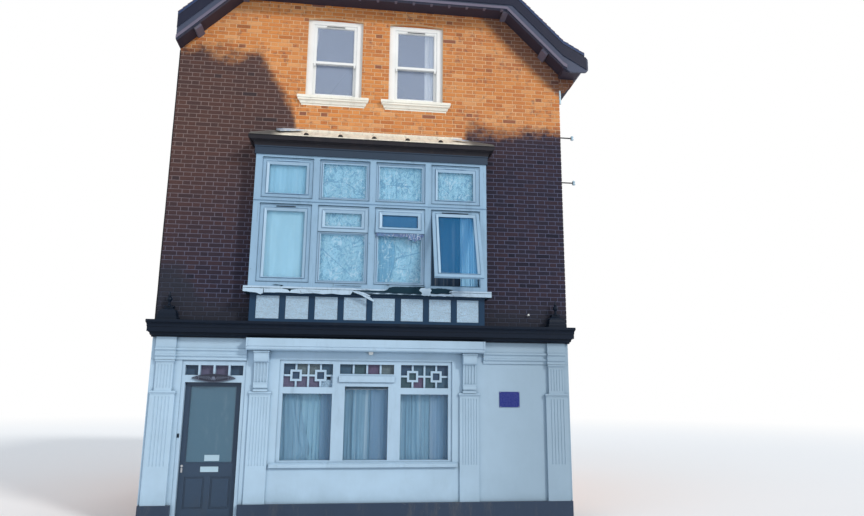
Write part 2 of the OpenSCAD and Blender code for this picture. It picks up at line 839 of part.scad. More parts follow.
// Window sill of the oriel: a base board and a nosing that has rotted away in places,
// its edge ragged, with one long splinter hanging down
module oriel_sill() {
    y0 = oriel_y - sill_out;
    z0 = oriel_z - sill_t;
    zn = oriel_z - nosing_t;
    color("white") {
        difference() {
            union() {
                span([-oriel_w / 2 - sill_end, y0 + 14, z0], [oriel_w / 2 + sill_end, 0, zn]);
                span([-oriel_w / 2 - sill_end, y0, zn], [oriel_w / 2 + sill_end, 0, oriel_z]);
            }
            translate([0, 0, z0 - 1]) linear_extrude(sill_t + 2) {
                polygon([[290, y0 - 1], [330, y0 + 28], [420, y0 + 36], [520, y0 + 30], [610, y0 + 41],
                    [690, y0 + 20], [720, y0 - 1]]);
                polygon([[880, y0 - 1], [905, y0 + 30], [1010, y0 + 38], [1120, y0 + 30], [1190, y0 + 34],
                    [1235, y0 - 1]]);
            }
            translate([0, 0, zn]) linear_extrude(nosing_t + 1)
                polygon([[-250, y0 - 1], [-215, y0 + 22], [-60, y0 + 34], [120, y0 + 26], [300, y0 + 40],
                    [300, oriel_y - 2], [1240, oriel_y - 2], [1240, y0 - 1]]);
            translate([-1720, y0 - 1, z0 - 1]) cube([130, 12, sill_t * 0.6]);
        }
        upright(y0 + 2, y0 + 14) polygon([[-262, zn + 6], [-250, zn - 8], [-100, zn - 78], [48, zn - 128],
            [60, zn - 116], [-40, zn - 66], [-150, zn], [-200, zn + 12]]);
    }
}

// Set-back of the apron's ends from the oriel's
apron_in = 35;
apron_w = oriel_w - 2 * apron_in;
apron_top = oriel_z - sill_t;
apron_y = oriel_y + 40;
panel_count = 8;
stud_w = 95;
apron_pitch = (apron_w - stud_w) / panel_count;
panel_z = cornice_top + 45;
panel_top = apron_top - 70;

module apron_frame() {
    chamfer = 8;
    color("black") difference() {
        union() {
            span([-apron_w / 2, apron_y, cornice_top], [apron_w / 2, 0, apron_top]);
            span([-apron_w / 2 - 14, apron_y - 16, apron_top - 42], [apron_w / 2 + 14, 0, apron_top]);
        }
        for (i = [0:panel_count - 1]) {
            x = -apron_w / 2 + stud_w + i * apron_pitch;
            span([x, apron_y - 1, panel_z], [x + apron_pitch - stud_w, apron_y + 30, panel_top]);
            span([x - chamfer, apron_y - 1, panel_z - chamfer],
                [x + apron_pitch - stud_w + chamfer, apron_y + 5, panel_top + chamfer]);
        }
    }
}

module apron_panels() {
    color("white") for (i = [0:panel_count - 1]) {
        x = -apron_w / 2 + stud_w + i * apron_pitch;
        span([x, apron_y + 8, panel_z], [x + apron_pitch - stud_w, apron_y + 30, panel_top]);
    }
}

// SHOPFRONT

cornice_z = cornice_top - cornice_h;
box_h = 175;

// Shopfront cornice: bed moulding, soffit, corona and crown, returned a little at its ends
module shop_cornice() {
    k = cornice_out;
    z = cornice_z;
    h = cornice_h;
    color("black") moulded(house_w, 0, concat([[0.78 * k - 150, z], [0.28 * k, z], [0.28 * k, z + 0.08 * h]],
        ovolo([0.3 * k, z + 0.08 * h], [0.5 * k, z + 0.25 * h]),
        [[0.5 * k, z + 0.3 * h], [0.76 * k, z + 0.3 * h], [0.76 * k, z + 0.27 * h], [0.8 * k, z + 0.27 * h],
        [0.8 * k, z + 0.58 * h], [0.84 * k, z + 0.58 * h], [0.84 * k, z + 0.63 * h]],
        cove([0.84 * k, z + 0.63 * h], [0.93 * k, z + 0.78 * h]),
        [[0.95 * k, z + 0.82 * h], [k, z + 0.84 * h], [k, z + 0.97 * h], [0.98 * k, z + h]]),
        cornice_end / cornice_out);
}

// Terminal over an outer pilaster: an ogee cap with a ball finial
module terminal() {
    h = 214;
    ball_z = 318;
    foot = [for (p = concat([[0, 0], [0, 40]], cove([-8, 40], [-18, 60]), [[-18, 70]],
        [for (i = [0:6]) [-18 - 62 * (1 - cos(15 * i)), 70 + 100 * sin(15 * i)]],
        [[-86, 176], [-86, 190], [-78, 196], [-78, h]])) p];
    translate([0, terminal_out, 0]) moulded(terminal_w, 2 * terminal_out, foot, 1);
    rotate_extrude($fn = SMOOTH)
        translate([0, h - 6]) polygon(concat([[0, 0], [36, 0], [36, 14], [18, 30], [18, 44]],
            arc_points(0, ball_z - h, 42, -58, 62, 12),
            [[20, 146], [26, 150], [26, 158], [14, 164], [9, 205], [0, 250]]));
}

terminal_w = 290;
terminal_out = 95;

module cornice_terminals() {
    color("darkslategray") for (side = [-1, 1])
        translate([side * outer_pilaster_x, -terminal_out, cornice_top]) terminal();
}

frieze_out = 30;
block_w = 285;
block_out = 70;

module shop_entablature() {
    z0 = shop_head_z - 20;
    color("aliceblue") {
        sideways(-outer_pilaster_x + block_w / 2, -blind_w / 2) entablature_outline(frieze_out, z0);
        sideways(blind_w / 2, outer_pilaster_x - block_w / 2) entablature_outline(frieze_out, z0);
        for (side = [-1, 1])
            sideways(side * outer_pilaster_x - block_w / 2, side * outer_pilaster_x + block_w / 2)
                entablature_outline(block_out, z0);
    }
}

// Frieze over an architrave of two small mouldings
module entablature_outline(out, z0) {
    polygon(concat([[0, z0], [-out + 12, z0], [-out + 12, z0 + 40]],
        [for (p = ovolo([out - 8, z0 + 44], [out + 10, z0 + 62])) [-p[0], p[1]]],
        [[-out - 12, z0 + 62], [-out - 12, z0 + 76], [-out, z0 + 82], [-out, z0 + 118]],
        [for (p = cove([out + 2, z0 + 118], [out + 18, z0 + 138])) [-p[0], p[1]]],
        [[-out - 24, z0 + 140], [-out - 24, z0 + 164], [-out, z0 + 174], [-out, cornice_z], [0, cornice_z]]));
}

module blind_box() {
    out = 190;
    z0 = cornice_z - box_h;
    color("white") {
        sideways(-blind_w / 2, blind_w / 2)
            polygon(concat([[0, z0], [-out + 50, z0]], arc_points(-out + 40, z0 + 30, 30, -90, -180, 6),
                [[-out + 10, z0 + 52], [-out, z0 + 60], [-out, cornice_z], [0, cornice_z]]));
        for (side = [-1, 1]) translate([side * (blind_w / 2 - 12), 0, 0])
            span([-12, -out - 6, z0 + 54], [12, 0, cornice_z]);
    }
}

// Shaft with round flutes between two heights
module fluted_shaft(w, out, z0, z1, flute_z0, flute_z1, n, pitch) {
    r = 9;
    difference() {
        span([-w / 2, -out, z0], [w / 2, 0, z1]);
        for (i = [0:n - 1])
            translate([(i - (n - 1) / 2) * pitch, -out - 2, flute_z0])
                cylinder(r = r, h = flute_z1 - flute_z0, $fn = 16);
    }
}

// Necking band with a round bead on a shaft of width w that stands out from the wall
module astragal(w, out) {
    moulded(w, out, concat([[0, -22], [6, -22], [6, -8]], ovolo([6, -8], [20, 4]), ovolo([20, 4], [12, 14]),
        [[12, 20], [0, 26]]));
}

module outer_pilaster() {
    w = outer_pilaster_w;
    upper_w = block_w - 40;
    fluted_shaft(w, 42, plinth_h, band_z - 22, flute_foot, band_z - 60, 5, 49);
    translate([0, 0, band_z]) astragal(w, 42);
    fluted_shaft(upper_w, 42, band_z + 26, shop_head_z - 68, band_z + 70, shop_head_z - 96, 5, 44);
    translate([0, 0, shop_head_z - 46]) astragal(upper_w, 42);
}

module inner_pilaster() {
    fluted_shaft(inner_pilaster_w, 26, plinth_h, band_z - 22, flute_foot, band_z - 60, 6, 42);
    translate([0, 0, band_z]) astragal(inner_pilaster_w, 26);
}

flute_foot = 860;

module pilasters() {
    color("aliceblue") for (side = [-1, 1]) {
        translate([side * outer_pilaster_x, 0, 0]) outer_pilaster();
        translate([side * inner_pilaster_x, 0, 0]) inner_pilaster();
    }
}

console_w = 200;
console_ribs = 4;
console_foot = band_z + 158;
console_neck = cornice_z - box_h - 172;

// Console body seen from the side, its curved front set back by inset
// Side of the reeded body, hollow in profile, set in from the ribs by inset
module console_body(inset) {
    rise = console_neck - console_foot + 10;
    polygon(concat([[0, console_foot]],
        [for (i = [0:8]) [inset - 46 - 38 * (1 - cos(11.25 * i)), console_foot + rise * sin(11.25 * i)]],
        [[0, console_foot + rise]]));
}

// Three fillets over a bulging cap, the reeded body, and a foot block over a thin base
module console() {
    w = console_w;
    z0 = band_z + 26;
    z1 = cornice_z - box_h;
    cap_z = z1 - 62;
    sideways(-w / 2, w / 2) console_body(9);
    rib = 19;
    pitch = (w - rib) / console_ribs;
    for (i = [0:console_ribs]) sideways(-w / 2 + i * pitch, -w / 2 + i * pitch + rib) console_body(0);
    moulded(w, 118, [[6, cap_z], [6, cap_z + 10], [12, cap_z + 10], [12, cap_z + 24], [4, cap_z + 24],
        [4, cap_z + 32], [18, cap_z + 32], [18, cap_z + 48], [8, cap_z + 48], [8, z1]]);
    sideways(-w / 2 - 6, w / 2 + 6) polygon(concat([[0, cap_z + 1]],
        [for (i = [0:10]) [-88 - 36 * cos(9 * i), cap_z + 1 - (cap_z - console_neck) * sin(9 * i)]],
        [[0, console_neck]]));
    moulded(w, 54, concat([[2, z0 + 52]], [for (i = [0:4]) [2 + 6 * sin(22.5 * i), console_foot - 30 + 7 * i]],
        [[-10, console_foot]]));
    span([-w / 2 + 10, -36, z0 + 27], [w / 2 - 10, 0, z0 + 53]);
    moulded(w, 46, [[4, z0], [4, z0 + 28], [0, z0 + 28]]);
}

module consoles() {
    color("aliceblue") for (side = [-1, 1]) translate([side * inner_pilaster_x, 0, 0]) console();
}

plinth_out = 50;

module plinth() {
    color("darkslategray") {
        span([-half_w, -plinth_out, 0], [door_left, 0, plinth_h]);
        span([door_right, -plinth_out, 0], [half_w, 0, plinth_h]);
    }
}

// SHOP WINDOW

sill_h = 70;
frame_y = 20;
frame_d = 90;
centre_light_w = 654;
stile_w = (shop_w - 2 * side_light_w - 2 * mullion_w - centre_light_w) / 2;
side_x = shop_w / 2 - stile_w - side_light_w;
side_head_z = 1885;
side_bars_z = 1980;
side_bars_top = 2325;
centre_head_z = 1995;
centre_bars_z = 2180;
centre_bars_w = 820;
light_foot = shop_sill_z + 25;

module shop_window_frame() {
    y1 = frame_y + frame_d;
    color("white") {
        difference() {
            span([-shop_w / 2, frame_y, shop_sill_z], [shop_w / 2, y1, shop_head_z]);
            for (side = [-1, 1]) translate([side * (side_x + side_light_w / 2), 0, 0]) {
                w = side_light_w / 2;
                span([-w, 0, light_foot], [w, y1 + 1, side_head_z]);
                span([-w, 0, side_bars_z], [w, y1 + 1, side_bars_top]);
            }
            span([-centre_light_w / 2, 0, light_foot], [centre_light_w / 2, y1 + 1, centre_head_z]);
            span([-centre_bars_w / 2, 0, centre_bars_z], [centre_bars_w / 2, y1 + 1, side_bars_top]);
        }
        moulding_z = centre_bars_z - 120;
        span([-centre_bars_w / 2 - 10, frame_y - 30, moulding_z], [centre_bars_w / 2 + 10, frame_y, moulding_z + 90]);
    }
}

bar_w = 28;
square_out = 170;
square_in = 105;

// One panel of the side lights: a hollow square held by four bars
module square_panel(w, h) {
    difference() {
        union() {
            square([square_out, square_out], center = true);
            square([w, bar_w], center = true);
            square([bar_w, h], center = true);
        }
        square([square_in, square_in], center = true);
    }
}

module shop_window_bars() {
    y0 = frame_y + 30;
    y1 = y0 + 26;
    h = side_bars_top - side_bars_z;
    half = side_light_w / 2;
    color("white") {
        for (side = [-1, 1]) translate([side * (side_x + half), 0, side_bars_z + h / 2])
            upright(y0, y1) {
                for (q = [-1, 1]) translate([q * half / 2, 0]) square_panel(half, h);
                square([bar_w, h], center = true);
            }
        bars_h = side_bars_top - centre_bars_z;
        for (i = [-1, 0, 1])
            span([i * centre_bars_w / 4 - bar_w / 2, y0, centre_bars_z],
                [i * centre_bars_w / 4 + bar_w / 2, y1, centre_bars_z + bars_h]);
    }
}

module shop_glass() {
    y0 = frame_y + 60;
    y1 = y0 + glass_t;
    w = side_light_w / 2;
    color("lightblue") {
        for (side = [-1, 1]) translate([side * (side_x + w), 0, 0]) {
            span([-w, y0, light_foot], [w, y1, side_head_z]);
            span([-w, y0, side_bars_z], [w, y1, side_bars_top]);
        }
        span([-centre_light_w / 2, y0, light_foot], [centre_light_w / 2, y1, centre_head_z]);
        span([-centre_bars_w / 2, y0, centre_bars_z], [centre_bars_w / 2, y1, side_bars_top]);
        for (i = [0:3]) {
            x = leaf_x0 - leaf_gap + i * (fanlight_w + bar_w);
            span([x, leaf_set, transom_rail_top], [x + fanlight_w, leaf_set + glass_t, fanlight_top]);
        }
    }
}

module shop_sill() {
    color("white") sideways(-shop_w / 2 - 80, shop_w / 2 + 80)
        polygon([[0, shop_sill_z - sill_h], [-50, shop_sill_z - sill_h], [-50, shop_sill_z - 30],
            [-42, shop_sill_z - 22], [0, shop_sill_z - 6]]);
    color("white") span([-shop_w / 2, 0, shop_sill_z - sill_h], [shop_w / 2, wall_t, shop_sill_z]);
}

curtain_y = frame_y + frame_d + 40;
curtain_t = 10;

// Wavy band as a gathered curtain is in plan
module curtain_plan(w, waves) {
    n = waves * 8;
    front = [for (i = [0:n]) [-w / 2 + w * i / n, 18 * sin(360 * waves * i / n)]];
    back = [for (i = [n:-1:0]) [-w / 2 + w * i / n, 18 * sin(360 * waves * i / n) + curtain_t]];
    polygon(concat(front, back));
}

module shop_curtains() {
    z1 = side_head_z + 60;
    color("lightsteelblue") {
        for (x = [-side_x - side_light_w / 2, 0, side_x + side_light_w / 2])
            translate([x, curtain_y, shop_sill_z + soft_gap]) linear_extrude(z1 - shop_sill_z - soft_gap)
                curtain_plan(side_light_w + 60, 7);
    }
    color("silver") span([-shop_w / 2, curtain_y - 12, z1], [shop_w / 2, curtain_y + 12, z1 + 24]);
}

// STREET DOOR

leaf_x0 = -door_x - leaf_w / 2;
leaf_x1 = -door_x + leaf_w / 2;
leaf_z0 = shop_floor_z + 10;
transom_rail_top = 2140;
fanlight_top = 2285;
door_frame_y0 = 15;
door_frame_y1 = leaf_set + leaf_t;
stop_w = 12;
fanlight_w = (leaf_w + 2 * leaf_gap - 3 * bar_w) / 4;

module door_frame() {
    x0 = leaf_x0 - leaf_gap;
    x1 = leaf_x1 + leaf_gap;
    rail_z = leaf_top + leaf_gap;
    color("white") difference() {
        span([door_left, door_frame_y0, shop_floor_z], [door_right, door_frame_y1, shop_head_z]);
        span([x0, leaf_set - leaf_gap, 0], [x1, door_frame_y1 + 1, rail_z]);
        span([x0 + stop_w, 0, 0], [x1 - stop_w, leaf_set, rail_z - stop_w]);
        for (i = [0:3]) {
            x = x0 + i * (fanlight_w + bar_w);
            span([x, 0, transom_rail_top], [x + fanlight_w, door_frame_y1 + 1, fanlight_top]);
        }
    }
}

module transom_carving() {
    w = 600;
    h = 88;
    r = arc_radius(w, h / 2);
    a = asin(w / 2 / r);
    lens = concat(arc_points(0, h / 2 - r, r, 90 + a, 90 - a, 16), arc_points(0, r - h / 2, r, 270 + a, 270 - a, 16));
    color("dimgray") translate([-door_x, 0, (leaf_top + transom_rail_top) / 2 + 4]) {
        upright(door_frame_y0 - 22, door_frame_y0) polygon(lens);
        upright(door_frame_y0 - 36, door_frame_y0 - 22) scale(0.8) polygon(lens);
    }
}

leaf_stile = 85;
panel_sunk = 12;
lock_rail_z = 700;
lock_rail_top = 900;
leaf_y1 = leaf_set + leaf_t;

module door_leaf() {
    bead = 14;
    field = 26;
    glass_x0 = leaf_x0 + leaf_stile;
    glass_x1 = leaf_x1 - leaf_stile;
    glass_z1 = leaf_top - 65;
    color("darkslategray") {
        difference() {
            span([leaf_x0, leaf_set, leaf_z0], [leaf_x1, leaf_y1, leaf_top]);
            span([glass_x0, leaf_set - 1, lock_rail_top], [glass_x1, leaf_y1 + 1, glass_z1]);
            span([glass_x0 - bead, leaf_set - 1, lock_rail_top - bead], [glass_x1 + bead, leaf_set + 6, glass_z1 + bead]);
            w = (leaf_w - 3 * leaf_stile) / 2;
            for (i = [0, 1]) {
                x = leaf_x0 + leaf_stile + i * (w + leaf_stile);
                for (face = [0, 1]) {
                    y0 = face > 0 ? leaf_y1 - panel_sunk : leaf_set - 1;
                    y1 = face > 0 ? leaf_y1 + 1 : leaf_set + panel_sunk;
                    difference() {
                        span([x, y0, leaf_z0 + 190], [x + w, y1, lock_rail_z]);
                        span([x + field, y0 - 2, leaf_z0 + 190 + field], [x + w - field, y1 + 2, lock_rail_z - field]);
                    }
                }
            }
        }
        // Weatherboard along the foot of the leaf
        sideways(leaf_x0 + 20, leaf_x1 - 20) polygon([[leaf_set, leaf_z0 + 20], [leaf_set - 22, leaf_z0 + 20],
            [leaf_set - 22, leaf_z0 + 30], [leaf_set, leaf_z0 + 75]]);
    }
}

module door_glass() {
    y = leaf_set + leaf_t / 2 - glass_t / 2;
    color("cadetblue") span([leaf_x0 + leaf_stile, y, lock_rail_top],
        [leaf_x1 - leaf_stile, y + glass_t, leaf_top - 65]);
}

module door_furniture() {
    color("silver") {
        span([-door_x - 108, leaf_set - 8, 765], [-door_x + 144, leaf_set, 840]);
        translate([leaf_x0 + 40, leaf_set, 850]) rotate([90, 0, 0]) cylinder(r = 17, h = 10, $fn = SMOOTH);
        span([leaf_x0 + 28, leaf_set - 6, 760], [leaf_x0 + 52, leaf_set, 825]);
    }
}

pin_r = 2.5;
knuckle_r = 6;
hinge_x = leaf_x1 + leaf_gap / 2;
hinge_y = leaf_y1 + knuckle_r + 0.5;
hinge_h = 100;
flap_w = 30;
flap_t = 2;
hinge_levels = [leaf_z0 + 200, (leaf_z0 + leaf_top) / 2, leaf_top - 250];

// Middle knuckle of each hinge with its flap on the leaf
module leaf_hinges() {
    z0 = hinge_h / 3 + 0.5;
    h = hinge_h / 3 - 1;
    color("silver") for (z = hinge_levels) translate([hinge_x, hinge_y, z + z0]) difference() {
        union() {
            cylinder(r = knuckle_r, h = h, $fn = SMOOTH);
            span([-flap_w, -knuckle_r - 0.5, 0], [0, -knuckle_r - 0.5 + flap_t, h]);
        }
        translate([0, 0, -1]) cylinder(r = pin_r + 0.05, h = h + 2, $fn = SMOOTH);
    }
}

// Pin, outer knuckles and flap of each hinge on the frame
module frame_hinges() {
    h = hinge_h / 3;
    color("silver") for (z = hinge_levels) translate([hinge_x, hinge_y, z]) {
        cylinder(r = pin_r, h = hinge_h, $fn = SMOOTH);
        for (k = [0, 2 * h]) {
            translate([0, 0, k]) cylinder(r = knuckle_r, h = h, $fn = SMOOTH);
            span([0, -knuckle_r - 0.5, k], [flap_w, -knuckle_r - 0.5 + flap_t, k + h]);
        }
    }
}

module door_step() {
    color("gray") span([door_left, -plinth_out, 0], [door_right, wall_t, shop_floor_z]);
}

// SASH WINDOWS

sash_open_w = 700;
sash_foot = 52;
stile = 44;
sash_t = 40;
upper_y = sash_set + 12;
lower_y = upper_y + sash_t + 4;

// Height of the middle of the meeting rails above the sill
meeting_z = sash_h * 0.46;
sash_head = sash_h - 78;

// Box frame, the upper sash with its horns in front and the lower sash behind it
module sash_window() {
    w = sash_open_w / 2;
    y1 = sash_set + box_d;
    rail = 45;
    difference() {
        span([-sash_w / 2, sash_set, 0], [sash_w / 2, y1, sash_h]);
        span([-w, sash_set - 1, sash_foot], [w, y1 + 1, sash_head]);
        span([-w - 9, sash_set - 1, sash_foot - 9], [w + 9, sash_set + 7, sash_head + 9]);
    }
    casement(-w, meeting_z - rail / 2, 2 * w, sash_head - meeting_z + rail / 2, stile, upper_y, sash_t);
    casement(-w, sash_foot, 2 * w, meeting_z - sash_foot + rail / 2, stile, lower_y, sash_t);
    for (side = [-1, 1]) translate([side * (w - stile / 2), 0, meeting_z - rail / 2])
        sideways(-14, 14) polygon(concat([[upper_y, 0], [upper_y + sash_t, 0]],
            arc_points(upper_y + sash_t, -50, 30, 90, 170, 4), [[upper_y, -46]]));
    span([-165, upper_y - 10, sash_head - 34], [165, upper_y, sash_head - 10]);
}

module sash_windows() {
    color("white") at_all_sashes() sash_window();
}

module sash_glass() {
    w = sash_open_w / 2 - stile;
    mid_glass = sash_t / 2 - glass_t / 2;
    color("lightblue") at_all_sashes() {
        span([-w, upper_y + mid_glass, meeting_z - 22.5 + stile],
            [w, upper_y + mid_glass + glass_t, sash_head - stile]);
        span([-w, lower_y + mid_glass, sash_foot + stile],
            [w, lower_y + mid_glass + glass_t, meeting_z + 22.5 - stile]);
    }
}

// Moulded sill with stepped ends, its top at the foot of the opening
module moulded_sill() {
    moulded(sash_w + 100, 0, concat([[8, -165], [8, -140]], ovolo([12, -140], [30, -122]), [[30, -114]],
        cove([34, -114], [58, -84]), [[62, -84], [62, -sill_seat], [75, -sill_seat + 6], [75, -18], [68, -8]]));
    span([-sash_w / 2, 0, -sill_seat], [sash_w / 2, sash_set + box_d, 0]);
}

module window_sills() {
    color("ivory") at_all_sashes() moulded_sill();
}

stub_r = 22;
plaque_t = 8;
lamp_x = 47.5;
lamp_w = 65;
lamp_h = 42;
lamp_out = 80;

// Bare blue plaque, the lamp under the blind box, the bell push by the door,
// the stub of pipe under the eaves and two line brackets on the flank
module front_fittings() {
    color("navy") span([plaque_x - plaque_w / 2, -plaque_t, plaque_z],
        [plaque_x + plaque_w / 2, 0, plaque_z + plaque_h]);
    color("white") {
        span([lamp_x - lamp_w / 2, -lamp_out, cornice_z - box_h - lamp_h + 12],
            [lamp_x + lamp_w / 2, 0, cornice_z - box_h]);
        span([lamp_x - lamp_w / 2 + 8, -lamp_out + 8, cornice_z - box_h - lamp_h],
            [lamp_x + lamp_w / 2 - 8, -10, cornice_z - box_h - lamp_h + 13]);
    }
    color("dimgray") {
        span([door_left + 10, door_frame_y0 - 9, bell_z], [door_left + 34, door_frame_y0, bell_z + bell_h]);
        translate([door_left + 22, door_frame_y0 - 8, bell_z + bell_h / 2]) rotate([90, 0, 0])
            cylinder(r = 7, h = 6, $fn = SMOOTH);
    }
    color("white") translate([half_w + stub_r, stub_r, corbel_foot_z - stub_h - soft_gap])
        cylinder(r = stub_r, h = stub_h, $fn = SMOOTH);
    for (z = [low_bracket_z, high_bracket_z]) line_bracket(z);
}

// Plate, arm and a waisted insulator
module line_bracket(z) {
    color("dimgray") translate([half_w, 60, z]) {
        span([0, -25, -40], [8, 25, 40]);
        span([0, -8, -8], [bracket_reach, 8, 8]);
        translate([bracket_reach, 0, -34]) rotate_extrude($fn = SMOOTH)
            polygon([[0, 0], [20, 0], [26, 6], [26, 24], [15, 30], [15, 40], [24, 46], [24, 62],
                [16, 72], [9, 78], [0, 80]]);
    }
}

from_front() shop_floor();
from_front() upper_floors();
from_front() party_wall();
from_front() flank_wall_ground();
from_front() flank_wall_upper();
from_front() rear_wall_ground();
from_front() rear_wall_first();
from_front() rear_wall_second();
from_front() front_piers();
from_front() stall_riser();
from_front() shopfront_lintel();
from_front() front_wall_first();
from_front() front_wall_second();
from_front() roof_slope_left();
from_front() roof_slope_right();
from_front() roof_half_hips();
from_front() ridge_tiles();
from_front() soffit_boxes();
from_front() bargeboards();
from_front() eaves_gutter();
from_front() kneelers();
from_front() oriel_frame();
from_front() oriel_casements();
from_front() oriel_open_casement();
from_front() oriel_glass();
from_front() oriel_cornice();
from_front() oriel_lead_roof();
from_front() oriel_sill();
from_front() apron_frame();
from_front() apron_panels();
from_front() shop_cornice();
from_front() cornice_terminals();
from_front() shop_entablature();
from_front() blind_box();
from_front() pilasters();
from_front() consoles();
from_front() plinth();
from_front() shop_window_frame();
from_front() shop_window_bars();
from_front() shop_glass();
from_front() shop_sill();
from_front() shop_curtains();
from_front() door_frame();
from_front() transom_carving();
from_front() door_leaf();
from_front() door_glass();
from_front() door_furniture();
from_front() leaf_hinges();
from_front() frame_hinges();
from_front() door_step();
from_front() sash_windows();
from_front() sash_glass();
from_front() window_sills();
from_front() front_fittings();
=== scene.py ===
"""Visual model of a corner shop house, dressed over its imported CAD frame.

Every length is in metres in the row frame: X along the front, Y from the front to the back, Z up.
"""
import json
import logging
import math
from dataclasses import dataclass
from enum import Enum
from functools import partial
from typing import Callable, Iterable, Sequence

import bmesh
import bpy
import numpy as np
from mathutils import Matrix, Vector

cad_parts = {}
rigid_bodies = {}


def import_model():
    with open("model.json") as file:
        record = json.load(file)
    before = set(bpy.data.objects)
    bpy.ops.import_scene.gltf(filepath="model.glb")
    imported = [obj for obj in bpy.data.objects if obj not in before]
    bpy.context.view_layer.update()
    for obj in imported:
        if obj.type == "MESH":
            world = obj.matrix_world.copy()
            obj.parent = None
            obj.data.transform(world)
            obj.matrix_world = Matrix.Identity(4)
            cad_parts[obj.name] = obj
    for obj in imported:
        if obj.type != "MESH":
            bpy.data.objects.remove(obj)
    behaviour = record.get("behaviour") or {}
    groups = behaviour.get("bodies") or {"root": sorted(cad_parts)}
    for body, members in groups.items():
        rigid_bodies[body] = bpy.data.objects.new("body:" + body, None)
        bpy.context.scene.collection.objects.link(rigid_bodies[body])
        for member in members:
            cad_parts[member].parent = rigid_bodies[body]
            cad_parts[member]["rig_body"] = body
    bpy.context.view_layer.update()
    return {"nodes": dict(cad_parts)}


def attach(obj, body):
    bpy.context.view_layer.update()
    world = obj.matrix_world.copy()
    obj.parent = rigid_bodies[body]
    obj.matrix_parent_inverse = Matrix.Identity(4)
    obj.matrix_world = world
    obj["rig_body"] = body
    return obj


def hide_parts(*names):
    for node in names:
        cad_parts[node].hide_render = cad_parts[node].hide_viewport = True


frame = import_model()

LOG = logging.getLogger("corner_house")

Point = tuple[float, float, float]
Flat = tuple[float, float]
Colour = tuple[float, float, float]
Rect = tuple[float, float, float, float]
Socket = bpy.types.NodeSocket
Value = Socket | float | Sequence[float]
Outline = Sequence[Flat]
Pieces = list[bpy.types.Object]

FRONT = -3.6
BACK = 3.6
HALF_W = 3.15
WALL = 0.225
EAVES_OUT = 0.335 * math.sqrt(2)
TOP_APEX = 7.32 + HALF_W + EAVES_OUT
EAVES_TOP = TOP_APEX - HALF_W
HIP_EDGE = 8.6
HIP_SOFFIT = 8.3
VERGE = 0.3
RIDGE_START = TOP_APEX - HIP_EDGE - VERGE
KICK = math.radians(30)
CORNICE_TOP = 2.925
BRICK_PROUD = 0.006
BRICK_WOBBLE = 0.004
SASH_HALF = 0.455
SASH_TALL = 1.39
HEAD_RISE = 0.04
ORIEL_FALL = math.atan2(0.226, 0.395)
ORIEL_LIGHTS = (-1.69, -0.816, 0.058, 0.931)
ORIEL_STARTS = (-1.69, -0.816, 0.0575, 0.93)


class Body(Enum):
    """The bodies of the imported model."""

    HOUSE = "house"
    DOOR = "street_door"


class Side(Enum):
    """The four faces of the house, each by the turn of its outward view about Z."""

    FRONT = 0
    FLANK = 90
    REAR = 180
    PARTY = -90


# ---------------------------------------------------------------- shaders


class Tree:
    """A node tree that is filled node by node."""

    def __init__(self, tree: bpy.types.NodeTree) -> None:
        """Empties the tree."""
        self.nodes, self.links = tree.nodes, tree.links
        self.nodes.clear()

    def feed(self, target: Socket, value: Value) -> None:
        """Links a socket to a target, or sets the target's own value.

        Args:
            target: the input.
            value: a socket or a plain value.
        """
        if isinstance(value, Socket):
            self.links.new(value, target)
        elif isinstance(value, tuple) and target.type == "RGBA" and len(value) == 3:
            target.default_value = (*value, 1)
        else:
            target.default_value = value

    def add(self, kind: str, *values: Value, **named: object) -> bpy.types.Node:
        """Adds a node and fills its sockets.

        Args:
            kind: its type.
            values: what goes into its first sockets.
            named: its settings, in lower case, and what goes into other sockets, with underscores for spaces.

        Returns:
            The new node.
        """
        node = self.nodes.new(kind)
        for name in filter(str.islower, named):
            setattr(node, name, named[name])
        for socket, value in zip(node.inputs, values):
            self.feed(socket, value)
        for name, value in named.items():
            if not name.islower():
                self.feed(node.inputs[name.replace("_", " ")], value)
        return node


